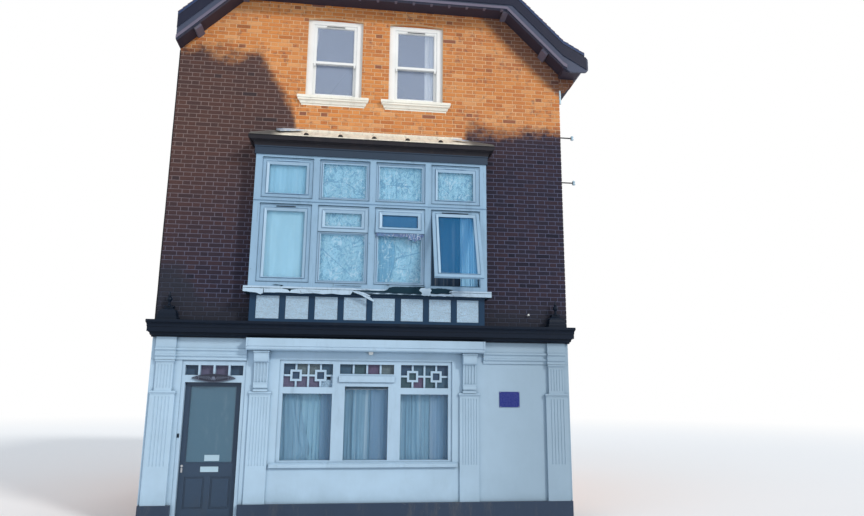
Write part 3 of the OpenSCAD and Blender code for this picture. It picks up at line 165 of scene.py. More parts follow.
class Graph(Tree):
    """Builds the node tree of one material."""

    def __init__(self, name: str) -> None:
        """Starts a material of this name with a Principled shader.

        Args:
            name: the material's name.
        """
        self.material = bpy.data.materials.new(name)
        self.material.use_nodes = True
        super().__init__(self.material.node_tree)
        self.shader = self.add("ShaderNodeBsdfPrincipled")
        self.out = self.add("ShaderNodeOutputMaterial", self.shader.outputs[0])
        self.place = self.add("ShaderNodeTexCoord").outputs["Object"]
        self.x, self.y, self.z = self.add("ShaderNodeSeparateXYZ", self.place).outputs

    def stretch(self, *scale: float) -> Socket:
        """Returns the object coordinates scaled by axis."""
        return self.add("ShaderNodeMapping", Vector=self.place, Scale=scale).outputs[0]

    def noise(self, scale: float, detail: float = 4, rough: float = 0.6, vector: Socket | None = None,
              twist: float = 0) -> Socket:
        """Returns the grey value of a noise texture on object coordinates.

        Args:
            scale: the pattern's frequency per metre.
            detail: the number of octaves.
            rough: how strong the fine octaves are.
            vector: other coordinates to read.
            twist: the distortion.
        """
        return self.add("ShaderNodeTexNoise", Vector=vector or self.place, Scale=scale, Detail=detail,
                        Roughness=rough, Distortion=twist).outputs[0]

    def cells(self, scale: float, feature: str = "F1", vector: Socket | None = None) -> Socket:
        """Returns the distance of a Voronoi texture."""
        return self.add("ShaderNodeTexVoronoi", feature=feature, Vector=vector or self.place,
                        Scale=scale).outputs["Distance"]

    def warped(self, scale: Point, swirl: float, reach: float) -> Socket:
        """Scales object coordinates by axis and pushes them about by a noise.

        Args:
            scale: the scale by axis.
            swirl: frequency of the noise.
            reach: how far it pushes.

        Returns:
            The coordinates.
        """
        cloud = self.add("ShaderNodeTexNoise", Vector=self.place, Scale=swirl).outputs["Color"]
        return self.add("ShaderNodeVectorMath", cloud, (reach,) * 3, self.stretch(*scale),
                        operation="MULTIPLY_ADD").outputs[0]

    def math(self, kind: str, a: Value, b: Value = 0.0) -> Socket:
        """Returns the result of a Math node."""
        return self.add("ShaderNodeMath", a, b, operation=kind).outputs[0]

    def times(self, a: Value, b: Value) -> Socket:
        """Returns the product."""
        return self.math("MULTIPLY", a, b)

    def plus(self, a: Value, b: Value) -> Socket:
        """Returns the sum."""
        return self.math("ADD", a, b)

    def less(self, a: Value, b: Value) -> Socket:
        """Returns the difference."""
        return self.math("SUBTRACT", a, b)

    def size(self, value: Value) -> Socket:
        """Returns the value without its sign."""
        return self.math("ABSOLUTE", value)

    def step(self, value: Socket, low: float, high: float) -> Socket:
        """Returns a smooth step of value from 0 at low to 1 at high."""
        return self.add("ShaderNodeMapRange", value, low, high, interpolation_type="SMOOTHSTEP").outputs[0]

    def patches(self, low: float, high: float, *noise: float | Socket) -> Socket:
        """Returns soft patches: a noise, stepped between two levels."""
        return self.step(self.noise(*noise), low, high)

    def painted_shadow(self, cloud: Socket) -> Socket:
        """Works out the painted shadow on the street front: a cast shadow up to the top floor and higher on the left,
        and the shadow of the right-hand verge.

        Args:
            cloud: a noise that breaks its edge.

        Returns:
            The share of painted shadow.
        """
        broken = self.plus(self.z, self.plus(self.times(cloud, 0.5), self.times(self.noise(1.6, 3, 0.6), 0.6)))
        left = self.times(self.step(self.x, -1.115, -1.97), 1.1)
        # The painted shadow lies lower over the middle, above the oriel.
        lit_middle = self.times(self.step(self.size(self.less(self.x, 0.12)), 1.48, 1.2), 0.7)
        level = self.plus(self.less(broken, left), lit_middle)
        # Painted shadow of the right-hand verge on the wall below it.
        verge = self.times(self.step(self.plus(self.z, self.x), 9.98, 10.16),
                           self.times(self.step(self.x, 1.6, 1.9), 0.75))
        share = self.math("MAXIMUM", self.times(self.step(level, 7.0, 6.62), 0.985), verge)
        return self.times(self.step(self.y, FRONT + 1.5, FRONT + 0.02), share)

    def grimy(self) -> Socket:
        """Works out the black dirt low on the street front, over the cornice and in the left corner.

        Returns:
            The share of grime.
        """
        ragged_x = self.plus(self.x, self.times(self.noise(3, 5, 0.7), 0.35))
        low = self.step(self.plus(self.z, self.times(self.step(ragged_x, -2.25, -2.75), -0.55)),
                        CORNICE_TOP + 0.55, CORNICE_TOP + 0.05)
        return self.times(self.step(self.y, FRONT + 0.8, FRONT + 0.02), self.times(low, 0.85))

    def shaded(self) -> Socket:
        """Returns how blue and deep the painted shadow is: more toward the ground and toward the right."""
        return self.step(self.less(self.z, self.times(self.x, 0.4)), 7.4, 4.2)

    def crevice(self, reach: float) -> Socket:
        """Returns how far a point lies down in a corner, from 0 in the open to 1."""
        return self.step(self.add("ShaderNodeAmbientOcclusion", samples=6, Distance=reach).outputs["AO"], 0.86, 0.32)

    def attribute(self, name: str) -> Socket:
        """Returns a named number stored on the mesh."""
        return self.add("ShaderNodeAttribute", attribute_name=name).outputs["Fac"]

    def ramp(self, value: Socket, *stops: tuple[float, Colour]) -> Socket:
        """Reads a colour ramp by a number.

        Args:
            value: the number that it is read by.
            stops: its places and their colours, in order.

        Returns:
            The colour.
        """
        node = self.add("ShaderNodeValToRGB", value)
        band = node.color_ramp.elements
        band[0].position, band[1].position = stops[0][0], stops[-1][0]
        for place, _ in stops[1:-1]:
            band.new(place)
        for element, (_, colour) in zip(band, stops):
            element.color = (*colour, 1)
        return node.outputs[0]

    def tone(self, value: Socket, low: float, high: float, colour: Colour, share: float) -> Socket:
        """Returns a colour that is darkened by share where value is low."""
        return self.ramp(value, (low, shade(colour, share)), (high, colour))

    def mix(self, share: Value, a: Socket | Colour, b: Socket | Colour) -> Socket:
        """Mixes two colours.

        Args:
            share: the share of the second.
            a: the first.
            b: the second.

        Returns:
            The mixed colour.
        """
        node = self.add("ShaderNodeMix", share, data_type="RGBA", blend_type="MIX")
        self.feed(node.inputs[6], a)
        self.feed(node.inputs[7], b)
        return node.outputs[2]

    def over(self, base: Socket, colour: Socket | Colour, share: Socket, strength: float) -> Socket:
        """Returns a base with a colour laid over it, at most as strongly as strength."""
        return self.mix(self.times(share, strength), base, colour)

    def bump(self, height: Socket, depth: float, under: Socket | None = None) -> Socket:
        """Returns a normal from a height of the given depth in metres."""
        more = {"Normal": under} if under else {}
        return self.add("ShaderNodeBump", Strength=1, Distance=depth, Height=height, **more).outputs[0]

    def dress(self, **values: Value) -> bpy.types.Material:
        """Sets the shader's sockets.

        Args:
            values: socket names with underscores for spaces, and what goes into them.

        Returns:
            The material.
        """
        for name, value in values.items():
            self.feed(self.shader.inputs[name.replace("_", " ")], value)
        return self.material


def shade(colour: Colour, share: float) -> Colour:
    """Returns the colour times share."""
    return tuple(c * share for c in colour)


class Finish:
    """Base of the finishes: each builds its material once."""

    name: str
    made: dict["Finish", bpy.types.Material] = {}

    @property
    def material(self) -> bpy.types.Material:
        """The finish's material, built at its first use.

        Returns:
            The material.
        """
        if self not in Finish.made:
            Finish.made[self] = self.build(Graph(self.name))
        return Finish.made[self]

    def build(self, g: Graph) -> bpy.types.Material:
        """Fills the graph of a new material.

        Args:
            g: the empty graph.

        Returns:
            The material.
        """
        raise NotImplementedError


@dataclass(frozen=True)
class Mortar(Finish):
    """Lime mortar of the joints outside, and plaster on the inside of the walls."""

    name: str
    colour: Colour = (0.92, 0.61, 0.35)
    plaster: Colour = (0.66, 0.63, 0.57)

    def build(self, g: Graph) -> bpy.types.Material:
        """Builds sandy mortar, darkened on the street front by painted shadow and by black dirt low down.

        Args:
            g: the graph of the material.

        Returns:
            The material.
        """
        grain = g.noise(420, 3, 0.7)
        base = g.tone(g.noise(2.2, 5, 0.6), 0.3, 0.7, self.colour, 0.72)
        base = g.over(base, shade(self.colour, 0.5), grain, 0.5)
        # Painted shadow: the mortar turns dark and bluish where the shadow fell.
        shadow_tone = g.mix(g.shaded(), (0.225, 0.165, 0.155), (0.085, 0.095, 0.165))
        base = g.mix(g.painted_shadow(g.noise(9, 5, 0.65)), base, shadow_tone)
        base = g.mix(g.grimy(), base, (0.040, 0.048, 0.070))
        within = (g.math("LESS_THAN", g.size(place), half - WALL + 0.002)
                  for place, half in ((g.x, HALF_W), (g.y, BACK)))
        base = g.mix(g.times(*within), base, self.plaster)
        normal = g.bump(grain, 0.0015, g.bump(g.noise(60, 3, 0.6), 0.003))
        return g.dress(Base_Color=base, Roughness=0.93, Normal=normal, Specular_IOR_Level=0.25)


@dataclass(frozen=True)
class Brick(Finish):
    """Hand-made facing bricks, each with its own burn, from orange to purple brown."""

    name: str
    pale: Colour = (0.71, 0.27, 0.073)
    red: Colour = (0.565, 0.18, 0.046)
    dark: Colour = (0.26, 0.10, 0.065)

    def build(self, g: Graph) -> bpy.types.Material:
        """Builds the brick: tint by brick, kiss marks, sandy grain, painted shade toward the right, and painted shadow
        on the street front.

        Args:
            g: the graph of the material.

        Returns:
            The material.
        """
        tint = g.attribute("tint")
        body = g.ramp(tint, (0.0, self.dark), (0.2, shade(self.red, 0.72)), (0.45, self.red), (0.8, self.pale),
                      (1.0, (0.80, 0.40, 0.17)))
        cloud = g.noise(9, 5, 0.65)
        # Painted shade: the bricks darken toward the right, where less light fell.
        body = g.over(body, self.dark, g.step(g.x, 0.4, 1.6), 0.14)
        body = g.mix(g.step(cloud, 0.52, 0.75), body, self.dark)
        body = g.over(body, shade(self.dark, 1.2), g.patches(0.45, 0.7, 1.1, 4, 0.6), 0.28)
        speck = g.noise(300, 3, 0.75)
        body = g.over(body, (0.74, 0.46, 0.27), g.step(speck, 0.55, 0.7), 0.35)
        body = g.mix(g.step(g.cells(90), 0.0, 0.16), (0.05, 0.035, 0.03), body)
        # Painted shadow: dark bluish brick where the shadow fell, bluer and deeper low down and to the right.
        high = g.ramp(tint, (0.0, (0.035, 0.026, 0.030)), (1.0, (0.088, 0.042, 0.036)))
        deep = g.ramp(tint, (0.0, (0.004, 0.006, 0.018)), (0.6, (0.010, 0.012, 0.028)), (1.0, (0.024, 0.015, 0.028)))
        body = g.mix(g.painted_shadow(cloud), body, g.mix(g.shaded(), high, deep))
        body = g.mix(g.grimy(), body, (0.021, 0.024, 0.036))
        body = g.over(body, (0.09, 0.075, 0.055), g.step(g.z, 0.7, 0.0), 0.5)
        normal = g.bump(speck, 0.0012, g.bump(g.noise(55, 5, 0.7), 0.004))
        return g.dress(Base_Color=body, Roughness=g.ramp(speck, (0.3, (0.78,) * 3), (0.7, (0.93,) * 3)),
                       Normal=normal, Specular_IOR_Level=0.3)


@dataclass(frozen=True)
class Paint(Finish):
    """Brushed or rolled paint on wood or render, with dirt, chalking and flakes.

    Attributes:
        under: colour of the wood under the coat.
        flake: share of the surface where the coat has come off.
        dirt: strength of the dirt patches.
        grain: direction in which the brush marks run, as scales by axis.
        foot: height range over which ground splash darkens the paint.
        lump: depth of the brush marks.
        crack: size of the plates between fine cracks, as a frequency, or 0 for none.
        gloss: specular level.
        split: strength of the upright splits of the wood.
        corner_shade: strength of the painted shade in corners and recesses.
        reach: how far that painted shade reaches out of the corners.
        shade_to_right: how much the coat darkens toward the right-hand end of the front, as painted shade.
    """

    name: str
    colour: Colour
    under: Colour = (0.27, 0.23, 0.19)
    rough: float = 0.42
    flake: float = 0.0
    dirt: float = 0.3
    grain: Point = (4, 4, 40)
    grime_and_shade: Colour = (0.16, 0.15, 0.13)
    foot: Flat = (-2.0, -1.0)
    lump: float = 0.0006
    crack: float = 0.0
    gloss: float = 0.45
    split: float = 0.0
    corner_shade: float = 0.45
    reach: float = 0.07
    shade_to_right: float = 0.0

    def build(self, g: Graph) -> bpy.types.Material:
        """Builds the painted surface.

        Args:
            g: the graph of the material.

        Returns:
            The material.
        """
        large, fine = g.noise(1.4, 5, 0.62), g.noise(38, 5, 0.72)
        coat = g.tone(large, 0.32, 0.62, self.colour, 0.9)
        coat = g.over(coat, self.grime_and_shade, g.patches(0.5, 0.78, 5, 6, 0.75, g.stretch(1, 1, 0.22)), self.dirt)
        splash = g.step(g.plus(g.z, g.times(large, 0.35)), self.foot[1], self.foot[0])
        coat = g.over(coat, self.grime_and_shade, splash, 0.55)
        # Painted shade: the coat darkens toward the right-hand end.
        if self.shade_to_right:
            coat = g.over(coat, shade(self.colour, 0.5), g.step(g.x, 0.3, 3.0), self.shade_to_right)
        # Painted shade: darker in corners and recesses, by ambient occlusion.
        coat = g.over(coat, self.grime_and_shade, g.crevice(self.reach), self.corner_shade)
        height = g.plus(g.times(g.noise(30, 3, 0.6, g.stretch(*self.grain)), 0.5), g.times(fine, 0.5))
        rough: Value = g.plus(g.times(fine, 0.22), self.rough - 0.08)
        if self.flake:
            bare = 0.70 - 0.5 * self.flake
            gone = g.patches(bare, bare + 0.015, 7, 8, 0.72, g.stretch(1, 1, 1.8), 0.7)
            coat = g.mix(gone, coat, g.tone(g.noise(60, 4, 0.6, g.stretch(1, 1, 9)), 0.3, 0.7, self.under, 0.6))
            rough = g.math("MAXIMUM", rough, g.times(gone, 0.9))
            height = g.less(height, g.times(gone, 1.4))
        if self.crack:
            seam = g.step(g.cells(self.crack, "DISTANCE_TO_EDGE", g.warped((0.8, 1, 2.4), 5, 0.35)), 0.03, 0.0)
            line = g.times(seam, g.patches(0.52, 0.6, 2.6, 4, 0.6))
            coat = g.over(coat, shade(self.under, 0.45), line, 0.6)
            height = g.less(height, g.times(line, 1.2))
        if self.split:
            split = g.times(g.patches(0.60, 0.65, 1, 5, 0.75, g.stretch(70, 70, 1.6), 0.3),
                            g.patches(0.50, 0.62, 1.7, 4, 0.6))
            coat = g.over(coat, shade(self.under, 0.7), split, self.split)
            height = g.less(height, split)
        return g.dress(Base_Color=coat, Roughness=rough, Normal=g.bump(height, self.lump),
                       Specular_IOR_Level=self.gloss)


@dataclass(frozen=True)
class Roughcast(Finish):
    """Painted roughcast: pea gravel thrown on the render."""

    name: str
    # Painted shade: white roughcast, darkened and tinted blue.
    colour: Colour = (0.42, 0.61, 0.78)

    def build(self, g: Graph) -> bpy.types.Material:
        """Builds the lumpy white surface.

        Args:
            g: the graph of the material.

        Returns:
            The material.
        """
        stones = g.less(1.0, g.cells(95, "SMOOTH_F1"))
        ridges = g.noise(14, 5, 0.65, g.stretch(0.7, 1, 3.6))
        coat = g.tone(g.noise(6, 5, 0.6), 0.3, 0.65, self.colour, 0.86)
        coat = g.over(coat, shade(self.colour, 0.55), g.step(ridges, 0.5, 0.36), 0.3)
        coat = g.over(coat, (0.30, 0.32, 0.35), g.step(stones, 0.75, 0.4), 0.45)
        return g.dress(Base_Color=coat, Roughness=0.85, Normal=g.bump(stones, 0.006, g.bump(ridges, 0.012)))


@dataclass(frozen=True)
class ClayTile(Finish):
    """Plain clay tiles with their own burn, lichen and moss."""

    name: str
    body: Colour = (0.155, 0.082, 0.06)
    red: Colour = (0.26, 0.11, 0.07)
    grey: Colour = (0.10, 0.092, 0.088)

    def build(self, g: Graph) -> bpy.types.Material:
        """Builds the clay of the tiles.

        Args:
            g: the graph of the material.

        Returns:
            The material.
        """
        clay = g.ramp(g.attribute("tint"), (0.0, self.grey), (0.4, self.body), (0.75, self.red),
                      (1.0, shade(self.body, 1.5)))
        clay = g.over(clay, self.grey, g.patches(0.45, 0.7, 1.3, 6, 0.65), 0.6)
        clay = g.over(clay, (0.34, 0.35, 0.27), g.patches(0.66, 0.72, 46, 4, 0.7), 0.8)
        clay = g.over(clay, (0.060, 0.075, 0.03), g.patches(0.62, 0.72, 11, 6, 0.75), 0.75)
        normal = g.bump(g.noise(160, 4, 0.7), 0.002, g.bump(g.noise(30, 4, 0.6), 0.004))
        return g.dress(Base_Color=clay, Roughness=0.86, Normal=normal, Specular_IOR_Level=0.3)


@dataclass(frozen=True)
class Lead(Finish):
    """Old sheet lead with its pale patina, brightened and warmed as painted sunlight, and rain streaks, black at the
    ends of the oriel's roof.
    """

    name: str
    colour: Colour = (0.80, 0.74, 0.62)

    def build(self, g: Graph) -> bpy.types.Material:
        """Builds the lead.

        Args:
            g: the graph of the material.

        Returns:
            The material.
        """
        streak = g.noise(7, 5, 0.6, g.stretch(2.2, 0.4, 0.6))
        coat = g.ramp(streak, (0.25, shade(self.colour, 0.74)), (0.5, self.colour), (0.75, (0.93, 0.86, 0.70)))
        coat = g.over(coat, (0.028, 0.030, 0.038), g.step(g.size(g.x), 1.36, 1.62), 0.9)
        coat = g.over(coat, (0.16, 0.12, 0.08), g.crevice(0.05), 0.6)
        return g.dress(Base_Color=coat, Metallic=0.1, Roughness=g.plus(g.times(streak, 0.3), 0.45),
                       Normal=g.bump(g.noise(6, 4, 0.5), 0.01))


@dataclass(frozen=True)
class Glass(Finish):
    """Window glass: clear, or obscured with a pebbled face.

    Attributes:
        clear: share of the light that passes.
        pebble: depth of the pattern in metres.
        tint_and_reflection: colour of the surface, its own tint with a painted reflection of the sky.
        coat: strength of the clear coat.
        gloss: specular level.
    """

    name: str
    clear: float = 0.8
    rough: float = 0.03
    pebble: float = 0.0
    tint_and_reflection: Colour = (0.16, 0.24, 0.33)
    coat: float = 0.6
    gloss: float = 0.5

    def build(self, g: Graph) -> bpy.types.Material:
        """Builds a thin pane that mixes passing light with a bluish surface colour, a painted reflection of the sky.

        Args:
            g: the graph of the material.

        Returns:
            The material.
        """
        normal = g.bump(g.noise(3.2, 3, 0.5), 0.004)
        if self.pebble:
            normal = g.bump(g.cells(140, "SMOOTH_F1"), self.pebble, normal)
        smear = g.times(g.patches(0.5, 0.85, 4, 6, 0.7, g.stretch(1, 1, 0.3)), 0.12)
        material = g.dress(Base_Color=g.mix(smear, self.tint_and_reflection, (0.7, 0.74, 0.78)), Roughness=self.rough, Normal=normal,
                           Transmission_Weight=0.0, IOR=1.5, Alpha=1 - self.clear, Coat_Weight=self.coat,
                           Coat_Roughness=0.02, Specular_IOR_Level=self.gloss)
        material.blend_method = "BLEND"
        return material


@dataclass(frozen=True)
class Tinted(Finish):
    """Coloured and obscured lights of the fanlights, a colour for each pane."""

    name: str
    palette: tuple[Colour, ...] = (
        (0.040, 0.085, 0.145), (0.13, 0.12, 0.20), (0.040, 0.085, 0.155), (0.13, 0.18, 0.20),
        (0.12, 0.09, 0.165), (0.05, 0.115, 0.18), (0.045, 0.10, 0.125), (0.36, 0.52, 0.67))

    def build(self, g: Graph) -> bpy.types.Material:
        """Builds pebbled glass coloured by the attribute tint.

        Args:
            g: the graph of the material.

        Returns:
            The material.
        """
        last = len(self.palette) - 1
        pane = g.ramp(g.attribute("tint"), *((i / last, c) for i, c in enumerate(self.palette)))
        colour = g.over(pane, (0.045, 0.06, 0.09), g.patches(0.4, 0.65, 45, 5, 0.8), 0.5)
        return g.dress(Base_Color=colour, Roughness=0.22, Normal=g.bump(g.cells(150, "SMOOTH_F1"), 0.003),
                       Coat_Weight=0.15, Coat_Roughness=0.05, Specular_IOR_Level=0.2)


@dataclass(frozen=True)
class Cloth(Finish):
    """Woven curtain cloth or thin net.

    Attributes:
        clear: share of the light that passes.
        mottle: strength of the soft stains.
        fold_light_and_shade: strength of the pale and dark lines along the folds, painted highlight and painted shade.
        crease: frequency of crumpled creases, or 0 for none.
        crease_shadows_and_reflections: long dark lines, each by its two ends in x and z: painted shade along creases,
            and painted reflections of branches.
        crease_shade: colour of the dark lines, painted shade.
    """

    name: str
    colour: Colour
    clear: float = 0.0
    mottle: float = 0.25
    fold_light_and_shade: float = 0.0
    crease: float = 0.0
    crease_shadows_and_reflections: tuple[Rect, ...] = ()
    crease_shade: Colour = (0.10, 0.27, 0.43)

    def creased(self, g: Graph, tone: Socket) -> Socket:
        """Adds crumpled creases to a colour: dark ones of painted shade and a pale one of painted highlight; on the
        upper nets they also stand for painted reflections of branches.

        Args:
            g: the graph of the material.
            tone: the colour so far.

        Returns:
            The colour.
        """
        for scale, width, share, colour in ((1, 0.042, 0.75, self.crease_shade), (2.4, 0.065, 0.7, self.crease_shade),
                                            (4.1, 0.07, 0.5, self.crease_shade), (1.7, 0.05, 0.6, (0.90, 0.96, 1.0))):
            fold = g.noise(self.crease * scale, 1, 0.5, g.warped((1, 1, 0.62), 3 * scale, 0.3 / scale))
            line = g.times(g.step(g.size(g.less(fold, 0.5)), width, width * 0.25),
                           g.patches(0.44, 0.56, 3.1 * scale, 3, 0.6))
            tone = g.over(tone, colour, line, share)
        return tone

    def slashed(self, g: Graph, tone: Socket) -> Socket:
        """Adds long dark lines to a colour: painted shade along creases, and painted reflections of branches.

        Args:
            g: the graph of the material.
            tone: the colour so far.

        Returns:
            The colour.
        """
        waver = g.times(g.noise(9, 3, 0.6), 0.03)
        for x0, z0, x1, z1 in self.crease_shadows_and_reflections:
            run = math.dist((x0, z0), (x1, z1))
            over, rise = (x1 - x0) / run, (z1 - z0) / run
            middle = g.less(g.x, (x0 + x1) / 2), g.less(g.z, (z0 + z1) / 2)
            along, across = (g.size(g.plus(g.times(middle[0], a), g.times(middle[1], b)))
                             for a, b in ((over, rise), (-rise, over)))
            line = g.times(g.step(g.less(g.plus(across, waver), 0.015), 0.012, 0.004),
                           g.step(along, run / 2, run / 2 - 0.02))
            tone = g.over(tone, self.crease_shade, line, 0.75)
        return tone

    def build(self, g: Graph) -> bpy.types.Material:
        """Builds the cloth with its weave and soft stains.

        Args:
            g: the graph of the material.

        Returns:
            The material.
        """
        weave = g.times(*(g.size(g.math("SINE", g.times(place, 2600))) for place in (g.x, g.z)))
        tone = g.tone(g.noise(3.5, 5, 0.6, g.stretch(2, 1, 0.4)), 0.3, 0.7, self.colour, 1 - self.mottle)
        tone = g.over(tone, shade(self.colour, 0.7), weave, 0.15)
        # Painted highlight and shade: pale and dark upright lines along the folds.
        if self.fold_light_and_shade:
            fold = g.noise(1, 3, 0.7, g.stretch(17, 1, 0.22))
            pale = tuple(c + (1 - c) * 0.3 for c in self.colour)
            tone = g.over(tone, pale, g.step(fold, 0.55, 0.66), self.fold_light_and_shade)
            tone = g.over(tone, shade(self.colour, 0.45), g.step(fold, 0.44, 0.34), self.fold_light_and_shade)
        if self.crease:
            tone = self.creased(g, tone)
        if self.crease_shadows_and_reflections:
            tone = self.slashed(g, tone)
        return g.dress(Base_Color=tone, Roughness=0.9, Normal=g.bump(weave, 0.0004), Alpha=1 - self.clear,
                       Sheen_Weight=0.3, Sheen_Roughness=0.5)


@dataclass(frozen=True)
class Metal(Finish):
    """Worn metal: bright, painted or cast."""

    name: str
    colour: Colour
    metallic: float = 1.0
    rough: float = 0.35
    rust: float = 0.0
    gloss: float = 0.5

    def build(self, g: Graph) -> bpy.types.Material:
        """Builds the metal with tarnish and rust.

        Args:
            g: the graph of the material.

        Returns:
            The material.
        """
        tarnish = g.noise(40, 5, 0.7)
        coat = g.tone(tarnish, 0.3, 0.65, self.colour, 0.65)
        if self.rust:
            bare = 0.70 - 0.4 * self.rust
            coat = g.mix(g.patches(bare, bare + 0.06, 28, 6, 0.8), coat, (0.19, 0.07, 0.03))
        rough = g.plus(g.times(tarnish, 0.3), self.rough - 0.1)
        return g.dress(Base_Color=coat, Metallic=self.metallic, Roughness=rough,
                       Normal=g.bump(g.noise(220, 3, 0.6), 0.0005), Specular_IOR_Level=self.gloss)


@dataclass(frozen=True)
class BareTimber(Finish):
    """Unpainted wood: floor boards, or the torn wood of a break.

    Attributes:
        board: width of a floor board, or 0 for one solid piece.
        grain: direction of the rings, as scales by axis.
    """

    name: str
    colour: Colour
    board: float = 0.0
    grain: Point = (18, 2, 18)

    def build(self, g: Graph) -> bpy.types.Material:
        """Builds wood grain, split into boards where there is a board width.

        Args:
            g: the graph of the material.

        Returns:
            The material.
        """
        height = rings = g.noise(6, 6, 0.65, g.stretch(*self.grain), 0.8)
        wood = g.ramp(rings, (0.25, shade(self.colour, 0.35)), (0.5, shade(self.colour, 0.8)), (0.75, self.colour))
        if self.board:
            boards = g.math("DIVIDE", g.x, self.board)
            joint = g.math("LESS_THAN", g.math("FRACT", boards), 0.035)
            which = g.math("FRACT", g.times(g.math("FLOOR", boards), 0.381))
            wood = g.over(wood, shade(self.colour, 0.5), which, 0.4)
            wood = g.mix(joint, wood, (0.02, 0.015, 0.01))
            height = g.less(rings, g.times(joint, 2.0))
        return g.dress(Base_Color=wood, Roughness=0.72, Normal=g.bump(height, 0.002))


@dataclass(frozen=True)
class Stone(Finish):
    """Dressed stone, worn and stained."""

    name: str
    colour: Colour

    def build(self, g: Graph) -> bpy.types.Material:
        """Builds the stone.

        Args:
            g: the graph of the material.

        Returns:
            The material.
        """
        grain = g.noise(140, 4, 0.7)
        coat = g.tone(g.noise(5, 6, 0.65), 0.3, 0.7, self.colour, 0.6)
        coat = g.over(coat, shade(self.colour, 0.45), grain, 0.35)
        return g.dress(Base_Color=coat, Roughness=0.8, Normal=g.bump(grain, 0.0015))


# ---------------------------------------------------------------- meshes


def put(name: str, data: bpy.types.ID) -> bpy.types.Object:
    """Puts a new object in the scene.

    Args:
        name: its name.
        data: what it shows.

    Returns:
        The object.
    """
    made = bpy.data.objects.new(name, data)
    bpy.context.scene.collection.objects.link(made)
    return made


def raw_mesh(name: str, verts: Iterable[Sequence[float]], faces: Iterable[Sequence[int]]) -> bpy.types.Mesh:
    """Makes a mesh of points and faces.

    Args:
        name: its name.
        verts: its points.
        faces: the indices of each face's points.

    Returns:
        The new mesh.
    """
    mesh = bpy.data.meshes.new(name)
    mesh.from_pydata(list(verts), [], list(faces))
    return mesh


def store(mesh: bpy.types.Mesh, name: str, kind: str, domain: str, values: Sequence) -> None:
    """Stores an attribute on a mesh.

    Args:
        mesh: the mesh.
        name: the attribute's name.
        kind: FLOAT or FLOAT_VECTOR.
        domain: POINT or FACE.
        values: a number or a point for each element.
    """
    data = mesh.attributes.new(name, kind, domain).data
    data.foreach_set("value" if kind == "FLOAT" else "vector", np.array(values, np.float32).ravel())


def plain_object(name: str, mesh: bpy.types.Mesh, finish: Finish, slot: str,
                 body: Body = Body.HOUSE) -> bpy.types.Object:
    """Links a finished mesh as a piece that rides a body.

    Args:
        name: the piece's name.
        mesh: its mesh, with its place in the vertices.
        finish: its material.
        slot: the record's material slot; not used.
        body: the body that it moves with.

    Returns:
        The new object.
    """
    mesh.name = name
    piece = put(name, mesh)
    if not len(mesh.materials):
        mesh.materials.append(finish.material)
    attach(piece, body.value)
    LOG.info("%s: %d faces", name, len(mesh.polygons))
    return piece


@dataclass(frozen=True)
class Plane:
    """A flat face on which pieces are set: an origin, a way up and a way out."""

    origin: Point
    up: Point
    out: Point

    @property
    def along(self) -> Vector:
        """The direction to the right, seen from outside."""
        return Vector(self.up).cross(Vector(self.out))

    def at(self, u: float, v: float, w: float = 0.0) -> Vector:
        """Returns the point at u along, v up and w out."""
        return Vector(self.origin) + self.along * u + Vector(self.up) * v + Vector(self.out) * w

    @property
    def turn(self) -> Vector:
        """The Euler turn from the axes X, Y, Z to along, up and out."""
        return Vector(Matrix((self.along, self.up, self.out)).transposed().to_euler("XYZ"))


def wall_plane(side: Side) -> Plane:
    """Finds the outside face of one wall.

    Args:
        side: the wall.

    Returns:
        The face, from the ground at its middle.
    """
    angle = math.radians(side.value)
    out = (math.sin(angle), -math.cos(angle), 0.0)
    reach = -FRONT if side in (Side.FRONT, Side.REAR) else HALF_W
    return Plane((out[0] * reach, out[1] * reach, 0.0), (0, 0, 1), out)


STREET = wall_plane(Side.FRONT)


